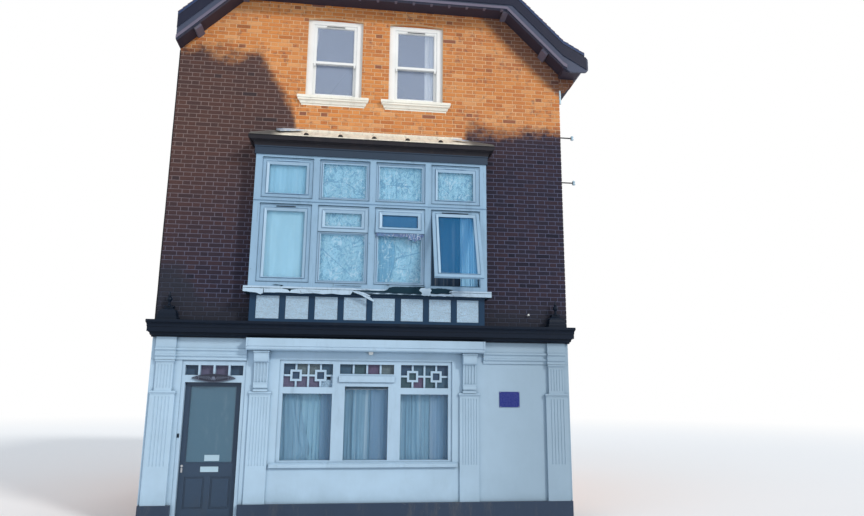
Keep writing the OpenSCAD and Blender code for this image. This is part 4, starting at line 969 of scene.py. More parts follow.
class Shape:
    """Collects simple solids in one bmesh."""

    def __init__(self) -> None:
        """Starts an empty mesh."""
        self.bm = bmesh.new()

    def ring(self, points: Iterable[Sequence[float]]) -> list[bmesh.types.BMVert]:
        """Returns new vertices at some points."""
        return [self.bm.verts.new(point) for point in points]

    def skin(self, rings: Sequence[list[bmesh.types.BMVert]], caps: bool = True, smooth: bool = False) -> None:
        """Joins rings of vertices by faces.

        Args:
            rings: the rings, in order.
            caps: whether the first and the last are closed.
            smooth: whether the faces between them are shaded smooth.
        """
        for low, high in zip(rings, rings[1:]):
            for i in range(len(low)):
                j = (i + 1) % len(low)
                self.bm.faces.new((low[i], low[j], high[j], high[i])).smooth = smooth
        if caps:
            self.bm.faces.new(rings[0])
            self.bm.faces.new(list(reversed(rings[-1])))

    def block(self, low: Point, high: Point, bevel: float = 0.0) -> None:
        """Adds a box.

        Args:
            low: its lowest corner.
            high: its highest corner.
            bevel: width of its eased edges.
        """
        made = bmesh.ops.create_cube(self.bm, size=1)["verts"]
        centre = (Vector(low) + Vector(high)) / 2
        size = Vector(high) - Vector(low)
        for vert in made:
            vert.co = Vector(tuple(c * s for c, s in zip(vert.co, size))) + centre
        if bevel:
            edges = list({e for v in made for e in v.link_edges})
            bmesh.ops.bevel(self.bm, geom=edges, offset=bevel, segments=2, affect="EDGES", profile=0.6)

    def prism(self, outline: Outline, low: float, high: float, plane: Plane = STREET) -> None:
        """Adds an outline drawn out from a plane.

        Args:
            outline: its points, along and up the plane.
            low: how far out it starts.
            high: how far out it ends.
            plane: the plane.
        """
        self.skin([self.ring(plane.at(a, b, out) for a, b in outline) for out in (low, high)])

    def torn(self, outline: Outline, reach: float, seed: int, gap: float, low: float, high: float,
             plane: Plane = STREET) -> None:
        """Adds an outline with ragged edges drawn out from a plane.

        Args:
            outline: its points, along and up the plane.
            reach: how far a point may move.
            seed: seed of the moves.
            gap: distance between the new points.
            low: how far out it starts.
            high: how far out it ends.
            plane: the plane.
        """
        self.prism(ragged(outline, reach, seed, gap), low, high, plane)

    def strip(self, x0: float, x1: float, z0: float, z1: float, *outs: float, plane: Plane = STREET) -> None:
        """Adds a rectangle drawn out from a plane, between two distances."""
        self.prism([(x0, z0), (x1, z0), (x1, z1), (x0, z1)], *outs, plane)

    def frame(self, outer: Rect, widths: Rect, depths: Point, plane: Plane) -> None:
        """Adds a picture frame whose face slopes inward.

        Args:
            outer: its left, right, lower and upper edges.
            widths: its widths at the same four edges.
            depths: how far out its outer edge, its inner edge and its back lie.
            plane: the plane.
        """
        face, inside, back = depths
        rings = []
        for share, out in ((0, back), (0, face), (1, inside), (1, back)):
            x0, x1, z0, z1 = (edge + way * share * width for edge, width, way in zip(outer, widths, (1, -1, 1, -1)))
            rings.append(self.ring(plane.at(a, b, out) for a, b in ((x0, z0), (x1, z0), (x1, z1), (x0, z1))))
        self.skin([*rings, rings[0]], False)

    def turned(self, outline: Outline, centre: Point, axis: Point, steps: int = 24) -> None:
        """Adds a revolved solid.

        Args:
            outline: pairs of radius and distance along the axis.
            centre: where the distance is zero.
            axis: direction of the axis.
            steps: segments round the axis.
        """
        turn = Vector((0, 0, 1)).rotation_difference(Vector(axis)).to_matrix()
        self.skin([self.ring(turn @ Vector((x, y, along)) + Vector(centre) for x, y in round_outline(radius, steps))
                   for radius, along in outline])

    def sweep(self, radius: float, steps: int, path: Sequence[Point], sideways: Point) -> None:
        """Adds a round tube along a path.

        Args:
            radius: its radius.
            steps: segments round it.
            path: the points that it follows.
            sideways: direction of its first point at the start.
        """
        rings = []
        for i, point in enumerate(path):
            ahead = (Vector(path[min(i + 1, len(path) - 1)]) - Vector(path[max(i - 1, 0)])).normalized()
            side = (Vector(sideways) - ahead * Vector(sideways).dot(ahead)).normalized()
            up = side.cross(ahead)
            rings.append(self.ring(Vector(point) + side * a + up * b for a, b in round_outline(radius, steps)))
        self.skin(rings, smooth=True)

    def mesh(self, name: str) -> bpy.types.Mesh:
        """Makes a mesh of what was collected, with its normals outward.

        Args:
            name: its name.

        Returns:
            The mesh.
        """
        bmesh.ops.recalc_face_normals(self.bm, faces=self.bm.faces)
        mesh = bpy.data.meshes.new(name)
        self.bm.to_mesh(mesh)
        self.bm.free()
        return mesh

    def piece(self, name: str, finish: Finish, slot: str, body: Body = Body.HOUSE) -> bpy.types.Object:
        """Returns the collected mesh as a piece."""
        return plain_object(name, self.mesh(name), finish, slot, body)


def round_outline(radius: float, steps: int) -> list[Flat]:
    """Returns the points of a circle."""
    return [(radius * math.cos(2 * math.pi * i / steps), radius * math.sin(2 * math.pi * i / steps))
            for i in range(steps)]


def ragged(outline: Outline, reach: float, seed: int, gap: float = 0.02, closed: bool = True) -> list[Flat]:
    """Cuts up the edges of an outline and pushes them about, as a break has.

    Args:
        outline: the points.
        reach: how far a point may move.
        seed: seed of the moves.
        gap: distance between the new points.
        closed: whether the last point joins the first.

    Returns:
        The new outline.
    """
    chance = np.random.default_rng(seed)
    made = []
    ends = [*outline[1:], outline[0]] if closed else outline[1:]
    for (ax, az), (bx, bz) in zip(outline, ends):
        count = max(1, int(math.dist((ax, az), (bx, bz)) / gap))
        for i in range(count):
            share = i / count
            dx, dz = chance.uniform(-reach, reach, 2) * (0.4 if i == 0 else 1)
            made.append((ax + (bx - ax) * share + dx, az + (bz - az) * share + dz))
    return made


# ---------------------------------------------------------------- scattering


class Template(Enum):
    """The small meshes that are repeated, in a unit cell: X along, Y up, Z out."""

    BRICK = "brick"
    TILE = "tile"
    CLIP = "clip"

    def mesh(self) -> bpy.types.Mesh:
        """Makes the template's mesh.

        Returns:
            The mesh.
        """
        if self is Template.TILE:
            bowed = ((-0.5, 0.0), (-0.27, 0.16), (0.0, 0.22), (0.27, 0.16), (0.5, 0.0))
            verts = [(x, 0, 0) for x, _ in bowed] + [(x, 0, 0.78 + r) for x, r in bowed]
            verts += [(x, 1, -0.1 + 0.4 * r) for x, r in bowed]
            faces = [(i, i + 1, i + 6, i + 5) for i in (0, 1, 2, 3, 5, 6, 7, 8)] + [(0, 5, 10), (4, 14, 9)]
        else:
            square, eased, keyed = (((-a, -b), (a, -b), (c, b), (-c, b)) for a, b, c in
                                    ((0.5, 0.5, 0.5), (0.48, 0.44, 0.48), (0.5, 0.5, 0.34)))
            clip = self is Template.CLIP
            rings = ((keyed, 0), (keyed, 1)) if clip else ((square, 0), (square, 0.5), (eased, 1))
            verts = [(x, y, z) for ring, z in rings for x, y in ring]
            top = len(verts) - 4
            faces = [(top, top + 1, top + 2, top + 3)] + [(3, 2, 1, 0)] * clip
            faces += [(k + i, k + (i + 1) % 4, k + 4 + (i + 1) % 4, k + 4 + i) for k in range(0, top, 4)
                      for i in range(4)]
        return raw_mesh(self.value, verts, faces)


class Scatter:
    """Sets copies of a template by a Geometry Nodes tree and keeps the result as a plain mesh."""

    def __init__(self, name: str, template: Template, wobble: float = 0.0, seed: int = 1) -> None:
        """Starts an empty scatter.

        Args:
            name: name of the piece that comes out.
            template: the mesh that is repeated.
            wobble: largest random turn of a copy in radians.
            seed: seed of the random turns.
        """
        self.name, self.template, self.wobble, self.seed = name, template, wobble, seed
        self.copies: list[tuple[Vector, Point, Vector, float]] = []

    def add(self, place: Vector, size: Point, turn: Vector, tint: float) -> None:
        """Adds one copy.

        Args:
            place: its origin.
            size: its scale by its own axes.
            turn: its Euler turn.
            tint: the number that its material reads.
        """
        self.copies.append((place, size, turn, tint))

    def tree(self) -> bpy.types.NodeTree:
        """Makes the Geometry Nodes tree that sets the copies.

        Returns:
            The tree.
        """
        tree = bpy.data.node_groups.new(self.name + "_tree", "GeometryNodeTree")
        t = Tree(tree)
        for name, kind in (("Geometry", "Geometry"), ("Template", "Object"), ("Finish", "Material"),
                           ("Wobble", "Float"), ("Seed", "Int")):
            tree.interface.new_socket(name, in_out="INPUT", socket_type="NodeSocket" + kind)
        tree.interface.new_socket("Geometry", in_out="OUTPUT", socket_type="NodeSocketGeometry")
        given = t.add("NodeGroupInput").outputs
        size, turn = (t.add("GeometryNodeInputNamedAttribute", data_type="FLOAT_VECTOR", Name=name).outputs[0]
                      for name in ("size", "turn"))
        points = t.add("GeometryNodeMeshToPoints", given["Geometry"]).outputs[0]
        shape = t.add("GeometryNodeObjectInfo", given["Template"]).outputs["Geometry"]
        turned = t.add("FunctionNodeEulerToRotation", turn).outputs[0]
        copies = t.add("GeometryNodeInstanceOnPoints", points, Instance=shape, Rotation=turned, Scale=size).outputs[0]
        back = t.add("ShaderNodeMath", given["Wobble"], -1, operation="MULTIPLY").outputs[0]
        chance = t.add("FunctionNodeRandomValue", back, given["Wobble"], data_type="FLOAT_VECTOR",
                       Seed=given["Seed"]).outputs[0]
        twisted = t.add("GeometryNodeRotateInstances", copies, Rotation=chance).outputs[0]
        real = t.add("GeometryNodeRealizeInstances", twisted).outputs[0]
        finished = t.add("GeometryNodeSetMaterial", real, Material=given["Finish"]).outputs[0]
        t.add("NodeGroupOutput", finished)
        return tree

    def build(self, finish: Finish, slot: str) -> bpy.types.Object:
        """Builds the piece.

        Args:
            finish: its material.
            slot: the record's material slot.

        Returns:
            The piece.
        """
        places, sizes, turns, tints = zip(*self.copies)
        mesh = raw_mesh(self.name + "_points", places, [])
        for name, kind, values in (("size", "FLOAT_VECTOR", sizes), ("turn", "FLOAT_VECTOR", turns),
                                   ("tint", "FLOAT", tints)):
            store(mesh, name, kind, "POINT", values)
        holder = put(self.name + "_points", mesh)
        template = put(self.name + "_template", self.template.mesh())
        modifier = holder.modifiers.new("set", "NODES")
        modifier.node_group = tree = self.tree()
        known = {item.name: item.identifier for item in tree.interface.items_tree if item.in_out == "INPUT"}
        for name, value in (("Template", template), ("Finish", finish.material), ("Wobble", self.wobble),
                            ("Seed", self.seed)):
            modifier[known[name]] = value
        bpy.context.view_layer.update()
        graph = bpy.context.evaluated_depsgraph_get()
        result = bpy.data.meshes.new_from_object(holder.evaluated_get(graph))
        holder.modifiers.remove(modifier)
        for thing in (holder, template):
            data = thing.data
            bpy.data.objects.remove(thing)
            bpy.data.meshes.remove(data)
        bpy.data.node_groups.remove(tree)
        for name in ("size", "turn"):
            if name in result.attributes:
                result.attributes.remove(result.attributes[name])
        return plain_object(self.name, result, finish, slot)


# ---------------------------------------------------------------- finishes


class Palette:
    """The finishes of the house."""

    mortar = Mortar("lime_mortar")
    brick = Brick("facing_brick")
    # Painted shade: these whites, the rotten sill's, the beads' and the fittings' are darkened and tinted blue, the
    # colour of white paint in shade.
    render = Paint("masonry_paint", (0.445, 0.61, 0.76), rough=0.7, dirt=0.16, grain=(6, 6, 6),
                   grime_and_shade=(0.20, 0.30, 0.39), foot=(0.25, 0.75), lump=0.0022, corner_shade=0.75, shade_to_right=0.65)
    white = Paint("white_gloss", (0.43, 0.59, 0.74), rough=0.33, flake=0.02, dirt=0.3, grain=(3, 3, 45),
                  grime_and_shade=(0.12, 0.20, 0.28), corner_shade=0.8, shade_to_right=0.6)
    # Painted shade: the oriel's white is the darkest and bluest copy of the white gloss.
    oriel_white = Paint("weathered_white", (0.285, 0.45, 0.615), rough=0.45, flake=0.03, dirt=0.35,
                        grain=(3, 3, 45), grime_and_shade=(0.11, 0.20, 0.29), under=(0.10, 0.12, 0.15), split=0.5,
                        corner_shade=0.2, reach=0.02)
    rotten = Paint("rotten_white", (0.46, 0.61, 0.75), rough=0.55, flake=0.10, dirt=0.5, grain=(3, 3, 45),
                   under=(0.10, 0.10, 0.13), grime_and_shade=(0.15, 0.20, 0.27), lump=0.002, crack=4, split=0.5)
    bead = Paint("bead_gloss", (0.36, 0.53, 0.69), rough=0.4, dirt=0.2, grain=(3, 3, 45),
                 grime_and_shade=(0.13, 0.22, 0.31), corner_shade=0.15, reach=0.02)
    # Rotted wood, dark blue-black as painted shade in the holes of the sill.
    rot = Paint("wet_rot", (0.012, 0.036, 0.056), rough=0.75, dirt=0.6, grain=(30, 3, 60), gloss=0.08,
                grime_and_shade=(0.008, 0.018, 0.028), lump=0.003, corner_shade=0.3)
    torn = BareTimber("torn_timber", (0.075, 0.135, 0.20), grain=(12, 30, 60))
    black = Paint("black_gloss", (0.005, 0.011, 0.024), rough=0.36, flake=0.03, dirt=0.35,
                  under=(0.07, 0.09, 0.12), grime_and_shade=(0.022, 0.027, 0.036), grain=(3, 3, 45), gloss=0.14)
    apron = Paint("apron_gloss", (0.012, 0.040, 0.086), rough=0.33, flake=0.02, dirt=0.3, gloss=0.18,
                  under=(0.13, 0.15, 0.17), grime_and_shade=(0.03, 0.055, 0.085), grain=(45, 3, 3))
    bed = Paint("cornice_bed_gloss", (0.036, 0.056, 0.088), rough=0.4, dirt=0.3, grain=(3, 3, 45), gloss=0.16,
                grime_and_shade=(0.03, 0.035, 0.05))
    crown = Paint("cornice_crown_gloss", (0.019, 0.018, 0.024), rough=0.4, flake=0.02, dirt=0.4, gloss=0.16,
                  under=(0.16, 0.15, 0.15), grime_and_shade=(0.05, 0.043, 0.042), grain=(3, 3, 45))
    # Painted shadow: dark lines round the oriel's lights, at their heads, feet and sides.
    seam = Paint("open_joint", (0.024, 0.055, 0.092), rough=0.7, dirt=0.2, grime_and_shade=(0.02, 0.03, 0.05),
                 gloss=0.1)
    barge = Paint("slate_blue_gloss", (0.065, 0.078, 0.125), rough=0.4, flake=0.03, dirt=0.45, gloss=0.2,
                  under=(0.20, 0.19, 0.20), grime_and_shade=(0.04, 0.045, 0.06), grain=(3, 3, 45))
    verge = Paint("verge_gloss", (0.028, 0.050, 0.125), rough=0.4, flake=0.02, dirt=0.4, gloss=0.2,
                  under=(0.16, 0.17, 0.22), grime_and_shade=(0.05, 0.055, 0.08), grain=(3, 3, 45))
    navy = Paint("navy_gloss", (0.014, 0.017, 0.038), rough=0.35, flake=0.02, dirt=0.3, gloss=0.18,
                 under=(0.16, 0.16, 0.2), grime_and_shade=(0.035, 0.035, 0.05), grain=(3, 3, 45))
    # Painted shade: the soffit is near black for the shade under the overhang.
    soffit = Paint("soffit_paint", (0.042, 0.034, 0.052), rough=0.5, flake=0.03, dirt=0.4, grain=(3, 30, 3),
                   grime_and_shade=(0.03, 0.025, 0.035), gloss=0.2)
    purlin = Paint("purlin_paint", (0.15, 0.135, 0.19), rough=0.5, flake=0.05, dirt=0.4, gloss=0.25)
    ivory = Paint("ivory_gloss", (0.95, 0.95, 0.93), rough=0.3, dirt=0.10, grain=(3, 3, 45),
                  grime_and_shade=(0.42, 0.42, 0.40))
    tile = ClayTile("plain_tile")
    ridge = ClayTile("ridge_tile", (0.14, 0.08, 0.065), (0.2, 0.1, 0.07))
    iron = Metal("painted_iron", (0.010, 0.011, 0.016), 0.0, 0.5, 0.12, 0.2)
    lead = Lead("sheet_lead")
    # Painted shade: the lifted corners are the bluish colour of the lead in shade.
    flap = Lead("lead_flap", (0.52, 0.62, 0.76))
    # Painted shadow: the roll ends are near black for the shadows that the knobs cast.
    roll = Metal("lead_roll", (0.05, 0.042, 0.038), 0.0, 0.7, 0.0, 0.2)
    roughcast = Roughcast("roughcast")
    plinth = Paint("plinth_gloss", (0.036, 0.056, 0.095), rough=0.35, flake=0.04, dirt=0.5, gloss=0.2,
                   under=(0.30, 0.31, 0.33), foot=(0.0, 0.12), lump=0.002)
    # Painted reflection: the bluish surface colours of the glass stand for the sky that it reflects, bluer in the
    # tilted open light and vent.
    glass = Glass("window_glass", tint_and_reflection=(0.10, 0.25, 0.40))
    oriel_glass = Glass("oriel_glass", clear=0.8, tint_and_reflection=(0.22, 0.55, 0.78), coat=0.3)
    sash_glass = Glass("sash_glass", clear=0.7, tint_and_reflection=(0.58, 0.70, 0.93))
    open_glass = Glass("open_light_glass", clear=0.78, tint_and_reflection=(0.03, 0.28, 0.64), coat=0.2, gloss=0.2)
    vent_glass = Glass("vent_glass", clear=0.66, tint_and_reflection=(0.07, 0.30, 0.62), coat=0.2, gloss=0.2)
    obscure = Glass("obscure_glass", clear=0.12, rough=0.28, pebble=0.003, tint_and_reflection=(0.060, 0.15, 0.225))
    tinted = Tinted("tinted_glass")
    # Painted shade: the nets are tinted cyan, the colour of white net in shade behind the glass.
    net = Cloth("net_cloth", (0.42, 0.71, 0.88), 0.02, 0.14, 0.25)
    # Painted shade, highlight and reflection: the creased net's creases and long lines, with reflections of branches on
    # the upper lights.
    creased = Cloth("creased_net", (0.52, 0.81, 0.95), 0.02, 0.25, 0.1, 7,
                    ((-0.745, 4.05, -0.30, 3.66), (-0.45, 5.14, -0.12, 4.93), (-0.74, 5.13, -0.52, 5.13),
                     (0.36, 5.30, 0.38, 4.90), (0.24, 5.12, 0.62, 5.11), (0.29, 5.26, 0.34, 5.13),
                     (0.63, 4.26, 0.62, 3.86), (0.37, 3.94, 0.78, 4.06), (0.39, 4.15, 0.53, 3.95),
                     (0.40, 3.79, 0.57, 3.77)))
    smooth = Cloth("smooth_net", (0.57, 0.85, 0.97), 0.02, 0.2, 0.15)
    # Painted shade: a near-black sheet for the dark room behind the open casement.
    shadow = Cloth("dark_lining", (0.010, 0.040, 0.085), mottle=0.3, fold_light_and_shade=0.3)
    lining = Cloth("blue_lining", (0.18, 0.44, 0.66), mottle=0.3, fold_light_and_shade=0.6, crease=9)
    curtain = Cloth("lined_curtain", (0.31, 0.54, 0.71), fold_light_and_shade=0.9)
    drape = Cloth("blue_drape", (0.32, 0.62, 0.84), fold_light_and_shade=0.5)
    pale = Cloth("pale_curtain", (0.93, 0.93, 0.86), fold_light_and_shade=0.3)
    mauve = Cloth("mauve_curtain", (0.25, 0.41, 0.60), fold_light_and_shade=0.5)
    rag = Cloth("rag_cloth", (0.13, 0.19, 0.40), mottle=0.6, crease=16)
    oak = Paint("weathered_oak", (0.040, 0.045, 0.068), rough=0.6, flake=0.1, dirt=0.5, gloss=0.2,
                under=(0.075, 0.045, 0.05), grime_and_shade=(0.022, 0.02, 0.03), lump=0.002, split=0.6)
    # Painted light: the carving is lighter than its board, for the light on its raised parts.
    relief = Paint("carving_paint", (0.15, 0.18, 0.25), rough=0.6, flake=0.03, dirt=0.3, gloss=0.25,
                   under=(0.09, 0.05, 0.06), grime_and_shade=(0.05, 0.045, 0.06), corner_shade=0.7)
    boards = BareTimber("floor_boards", (0.34, 0.21, 0.12), board=0.15)
    door = Paint("door_gloss", (0.032, 0.060, 0.105), rough=0.3, dirt=0.3, under=(0.2, 0.2, 0.2), gloss=0.35,
                 grime_and_shade=(0.055, 0.060, 0.068), grain=(3, 3, 50), corner_shade=0.15)
    steel = Metal("bright_steel", (0.62, 0.63, 0.65))
    step = Stone("step_stone", (0.34, 0.33, 0.31))
    cream = Paint("cream_masonry", (0.94, 0.91, 0.81), rough=0.6, flake=0.05, dirt=0.4, lump=0.0015,
                  grime_and_shade=(0.36, 0.33, 0.27))
    fitting = Paint("fitting_enamel", (0.44, 0.61, 0.72), rough=0.3, dirt=0.2, grime_and_shade=(0.2, 0.26, 0.3))
    blue = Paint("blue_enamel", (0.018, 0.030, 0.20), rough=0.25, dirt=0.15, gloss=0.3)
    rail = Metal("rail_metal", (0.7, 0.7, 0.68), 0.6, 0.4)

    @classmethod
    def by_slot(cls) -> dict[str, Finish]:
        """Gives each of the record's material slots its finish.

        Returns:
            The finish of each slot.
        """
        return {"floor_boards": cls.boards, "brick": cls.mortar, "white_render": cls.render,
                "white_timber": cls.white, "black_timber": cls.black, "dark_timber": cls.barge,
                "roof_tile": cls.tile, "ridge_tile": cls.ridge, "black_iron": cls.iron, "lead": cls.lead,
                "roughcast": cls.roughcast, "plinth_paint": cls.plinth, "glass": cls.glass,
                "obscure_glass": cls.obscure, "curtain_cloth": cls.curtain, "weathered_oak": cls.oak,
                "door_paint": cls.door, "bright_metal": cls.steel, "step_stone": cls.step,
                "cream_stone": cls.cream, "fittings": cls.fitting}

    @classmethod
    def by_node(cls) -> dict[str, Finish]:
        """Returns the finish of the nodes that differ from their slot."""
        return {"oriel_sill": cls.rotten, "oriel_frame": cls.oriel_white, "oriel_casements": cls.oriel_white,
                "oriel_open_casement": cls.oriel_white, "sash_windows": cls.ivory, "apron_frame": cls.apron}


# ---------------------------------------------------------------- brickwork


@dataclass(frozen=True)
class Opening:
    """A hole in a wall face, with a head that may be cambered.

    Attributes:
        u0: left edge. u1: right edge. v0: foot. v1: height at the sides. rise: rise of the head.
    """

    u0: float
    u1: float
    v0: float
    v1: float
    rise: float = 0.0

    def strips(self) -> list[Rect]:
        """Cuts the hole into upright strips that follow its head.

        Returns:
            The strips.
        """
        if not self.rise:
            return [(self.u0, self.u1, self.v0, self.v1)]
        count = 10
        width = (self.u1 - self.u0) / count
        return [(self.u0 + i * width, self.u0 + (i + 1) * width, self.v0,
                 self.v1 + self.rise * (1 - ((i + 0.5) / count * 2 - 1) ** 2)) for i in range(count)]


def cut(rects: Iterable[Rect], hole: Rect, least: float) -> list[Rect]:
    """Cuts a hole out of some rectangles.

    Args:
        rects: the rectangles.
        hole: the hole.
        least: the narrowest piece that is kept.

    Returns:
        What is left of them round the hole.
    """
    left = []
    h0, h1, g0, g1 = hole
    for a0, a1, b0, b1 in rects:
        if a1 <= h0 or a0 >= h1 or b1 <= g0 or b0 >= g1:
            left.append((a0, a1, b0, b1))
            continue
        c0, c1 = max(a0, h0), min(a1, h1)
        for piece in ((a0, h0, b0, b1), (h1, a1, b0, b1), (c0, c1, b0, g0), (c0, c1, g1, b1)):
            if piece[1] - piece[0] > least and piece[3] - piece[2] > least:
                left.append(piece)
    return left


@dataclass
class Brickwork:
    """The facing bricks of one wall in Flemish bond, proud of the mortar.

    Attributes:
        side: which wall.
        brick: the finish.
        half: half of the wall's length.
        foot: level of the first course.
        head: returns the height at which the wall is hidden under the roof.
        openings: the holes.
        course: height of a course. joint: width of the joints.
        stretcher: length of a stretcher with its joint. header: of a header.
        proud: how far the bricks stand out of the mortar.
        top: level above which there are no bricks.
        least: the narrowest piece of a brick.
        seed: seed of their burns and sizes.
    """

    side: Side
    brick: Finish
    half: float
    foot: float
    head: Callable[[float], float]
    openings: Sequence[Opening] = ()
    course: float = 0.07
    joint: float = 0.0105
    stretcher: float = 0.2265
    header: float = 0.1165
    proud: float = BRICK_PROUD
    top: float = 9.0
    least: float = 0.012
    seed: int = 3

    def build(self) -> bpy.types.Object:
        """Lays the wall's bricks.

        Returns:
            The bricks as one piece.
        """
        chance = np.random.default_rng(self.seed + self.side.value % 7)
        plane = wall_plane(self.side)
        scatter = Scatter(f"bricks_{self.side.name.lower()}", Template.BRICK, BRICK_WOBBLE, self.seed)
        holes = [strip for opening in self.openings for strip in opening.strips()]
        turn = plane.turn
        edge = self.half + self.proud
        gap = self.joint / 2
        for row in range(int(self.foot / self.course), int(self.top / self.course)):
            v0, v1 = row * self.course + gap, (row + 1) * self.course - gap
            if v0 < self.foot:
                continue
            u = -edge - ((self.stretcher + self.header) / 2 if row % 2 else 0.0)
            k = 0
            while u < edge:
                width = self.header if k % 2 else self.stretcher
                rect = (max(u + gap, -edge), min(u + width - gap, edge), v0, v1)
                u += width
                k += 1
                if rect[1] - rect[0] < self.least or v0 > self.head(min(abs(rect[0]), abs(rect[1]))):
                    continue
                pieces = [rect]
                for hole in holes:
                    pieces = cut(pieces, hole, self.least)
                burnt = chance.random() < (0.05 if width == self.header else 0.02)
                tint = chance.uniform(0.0, 0.22) if burnt else chance.beta(2.4, 2.0) * 0.62 + 0.36
                for a0, a1, b0, b1 in pieces:
                    size = (a1 - a0 - chance.uniform(0, 0.003), b1 - b0 - chance.uniform(0, 0.003),
                            self.proud * chance.uniform(0.7, 1.0))
                    scatter.add(plane.at((a0 + a1) / 2, (b0 + b1) / 2), size, turn, tint)
        return scatter.build(self.brick, "brick")


def gable_head(across: float) -> float:
    """Returns the height of the soffit over the front and rear walls at a distance from the middle."""
    return min(HIP_SOFFIT, TOP_APEX - EAVES_OUT - across)


@dataclass
class Kneelers:
    """The corbelled bricks under the eaves of the flank, at its two ends.

    Attributes:
        foot: their lowest level. rise: height of a course. reach: how far each course stands out.
        depth: their length along the flank. closer: the brick at an end of a course. joint: the joints.
    """

    brick: Finish
    foot: float = 7.03
    rise: float = 0.072
    reach: float = 0.09
    depth: float = 0.225
    closer: float = 0.115
    joint: float = 0.01
    seed: int = 9

    def build(self) -> bpy.types.Object:
        """Lays their facing bricks.

        Returns:
            The bricks as one piece.
        """
        scatter = Scatter("bricks_kneelers", Template.BRICK, BRICK_WOBBLE, self.seed)
        chance = np.random.default_rng(self.seed)

        def lay(plane: Plane, u0: float, u1: float, v0: float, v1: float) -> None:
            """Lays one brick."""
            size = (abs(u1 - u0) - self.joint, v1 - v0 - self.joint, BRICK_PROUD)
            scatter.add(plane.at((u0 + u1) / 2, (v0 + v1) / 2), size, plane.turn, float(chance.uniform(0.3, 1.0)))

        inner = BACK - self.depth
        for end in (-1, 1):
            face = wall_plane(Side.FRONT if end < 0 else Side.REAR)
            for i in range(3):
                v0, v1 = self.foot + self.rise * i, self.foot + self.rise * (i + 1)
                outer = HALF_W + self.reach * (i + 1)
                edges = sorted([HALF_W, *[outer - self.closer * k for k in range(i + 1)]])
                for low, high in zip(edges, edges[1:]):
                    lay(face, -end * low, -end * high, v0, v1)
                side = Plane((outer, 0, 0), (0, 0, 1), (1, 0, 0))
                middle = inner + self.depth / 2 if i % 2 else BACK
                for low, high in ((inner, middle), (middle, BACK)):
                    if high > low:
                        lay(side, end * low, end * high, v0, v1)
                under = Plane((0, 0, v0), (1, 0, 0), (0, 0, -1))
                lay(under, *sorted((end * inner, end * BACK)), outer - self.reach, outer)
        return scatter.build(self.brick, "brick")


def sash_places() -> list[tuple[Side, float, float]]:
    """Returns the wall, the middle and the sill height of every sash window."""
    return ([(Side.FRONT, x, 6.65) for x in (-0.68, 0.68)] + [(Side.FLANK, u, 3.85) for u in (-1.3, 1.4)]
            + [(Side.REAR, x, z) for x in (-1.5, 1.5) for z in (0.9, 3.85, 6.55)])


def build_sash_heads(brick: Finish) -> bpy.types.Object:
    """Builds the brick segments between the flat heads of the sash frames and their cambered reveals.

    Args:
        brick: their finish.

    Returns:
        One piece for all the windows.
    """
    heads = Shape()
    half = SASH_HALF - 0.003
    for side, u, z in sash_places():
        top = z + SASH_TALL
        curve = [(u + half * k / 8, top + HEAD_RISE * (1 - (k / 8) ** 2) + 0.002) for k in range(8, -9, -1)]
        heads.prism([(u - half, top + 0.001), (u + half, top + 0.001), *curve], -0.057, -0.054, wall_plane(side))
    mesh = heads.mesh("sash_heads")
    store(mesh, "tint", "FLOAT", "FACE", [0.5] * len(mesh.polygons))
    return plain_object("sash_heads", mesh, brick, "brick")


def build_brickwork(brick: Finish) -> Pieces:
    """Builds the bricks of the four walls, the kneelers and the window heads.

    Args:
        brick: their finish.

    Returns:
        The pieces.
    """
    sashes = {side: [Opening(u - SASH_HALF, u + SASH_HALF, z, z + SASH_TALL, HEAD_RISE)
                     for found, u, z in sash_places() if found is side] for side in Side}
    oriel = [Opening(-1.81, 1.81, 2.9, 5.80), Opening(-1.46, 1.46, 5.7, 6.03)]
    walls = (Brickwork(Side.FRONT, brick, HALF_W, CORNICE_TOP, gable_head, sashes[Side.FRONT] + oriel),
             Brickwork(Side.FLANK, brick, BACK, 0.0, lambda _: 7.24, sashes[Side.FLANK]),
             Brickwork(Side.REAR, brick, HALF_W, 0.0, gable_head, sashes[Side.REAR]),
             Brickwork(Side.PARTY, brick, BACK, 0.0, lambda _: 7.76))
    return [*(wall.build() for wall in walls), Kneelers(brick).build(), build_sash_heads(brick)]


# ---------------------------------------------------------------- roof


@dataclass(frozen=True)
class Slope:
    """One roof face to be tiled.

    Attributes:
        name: its name.
        plane: its face, from its foot.
        length: its length up the slope.
        reach: returns the least and greatest u at a distance up the slope.
    """

    name: str
    plane: Plane
    length: float
    reach: Callable[[float], Flat]


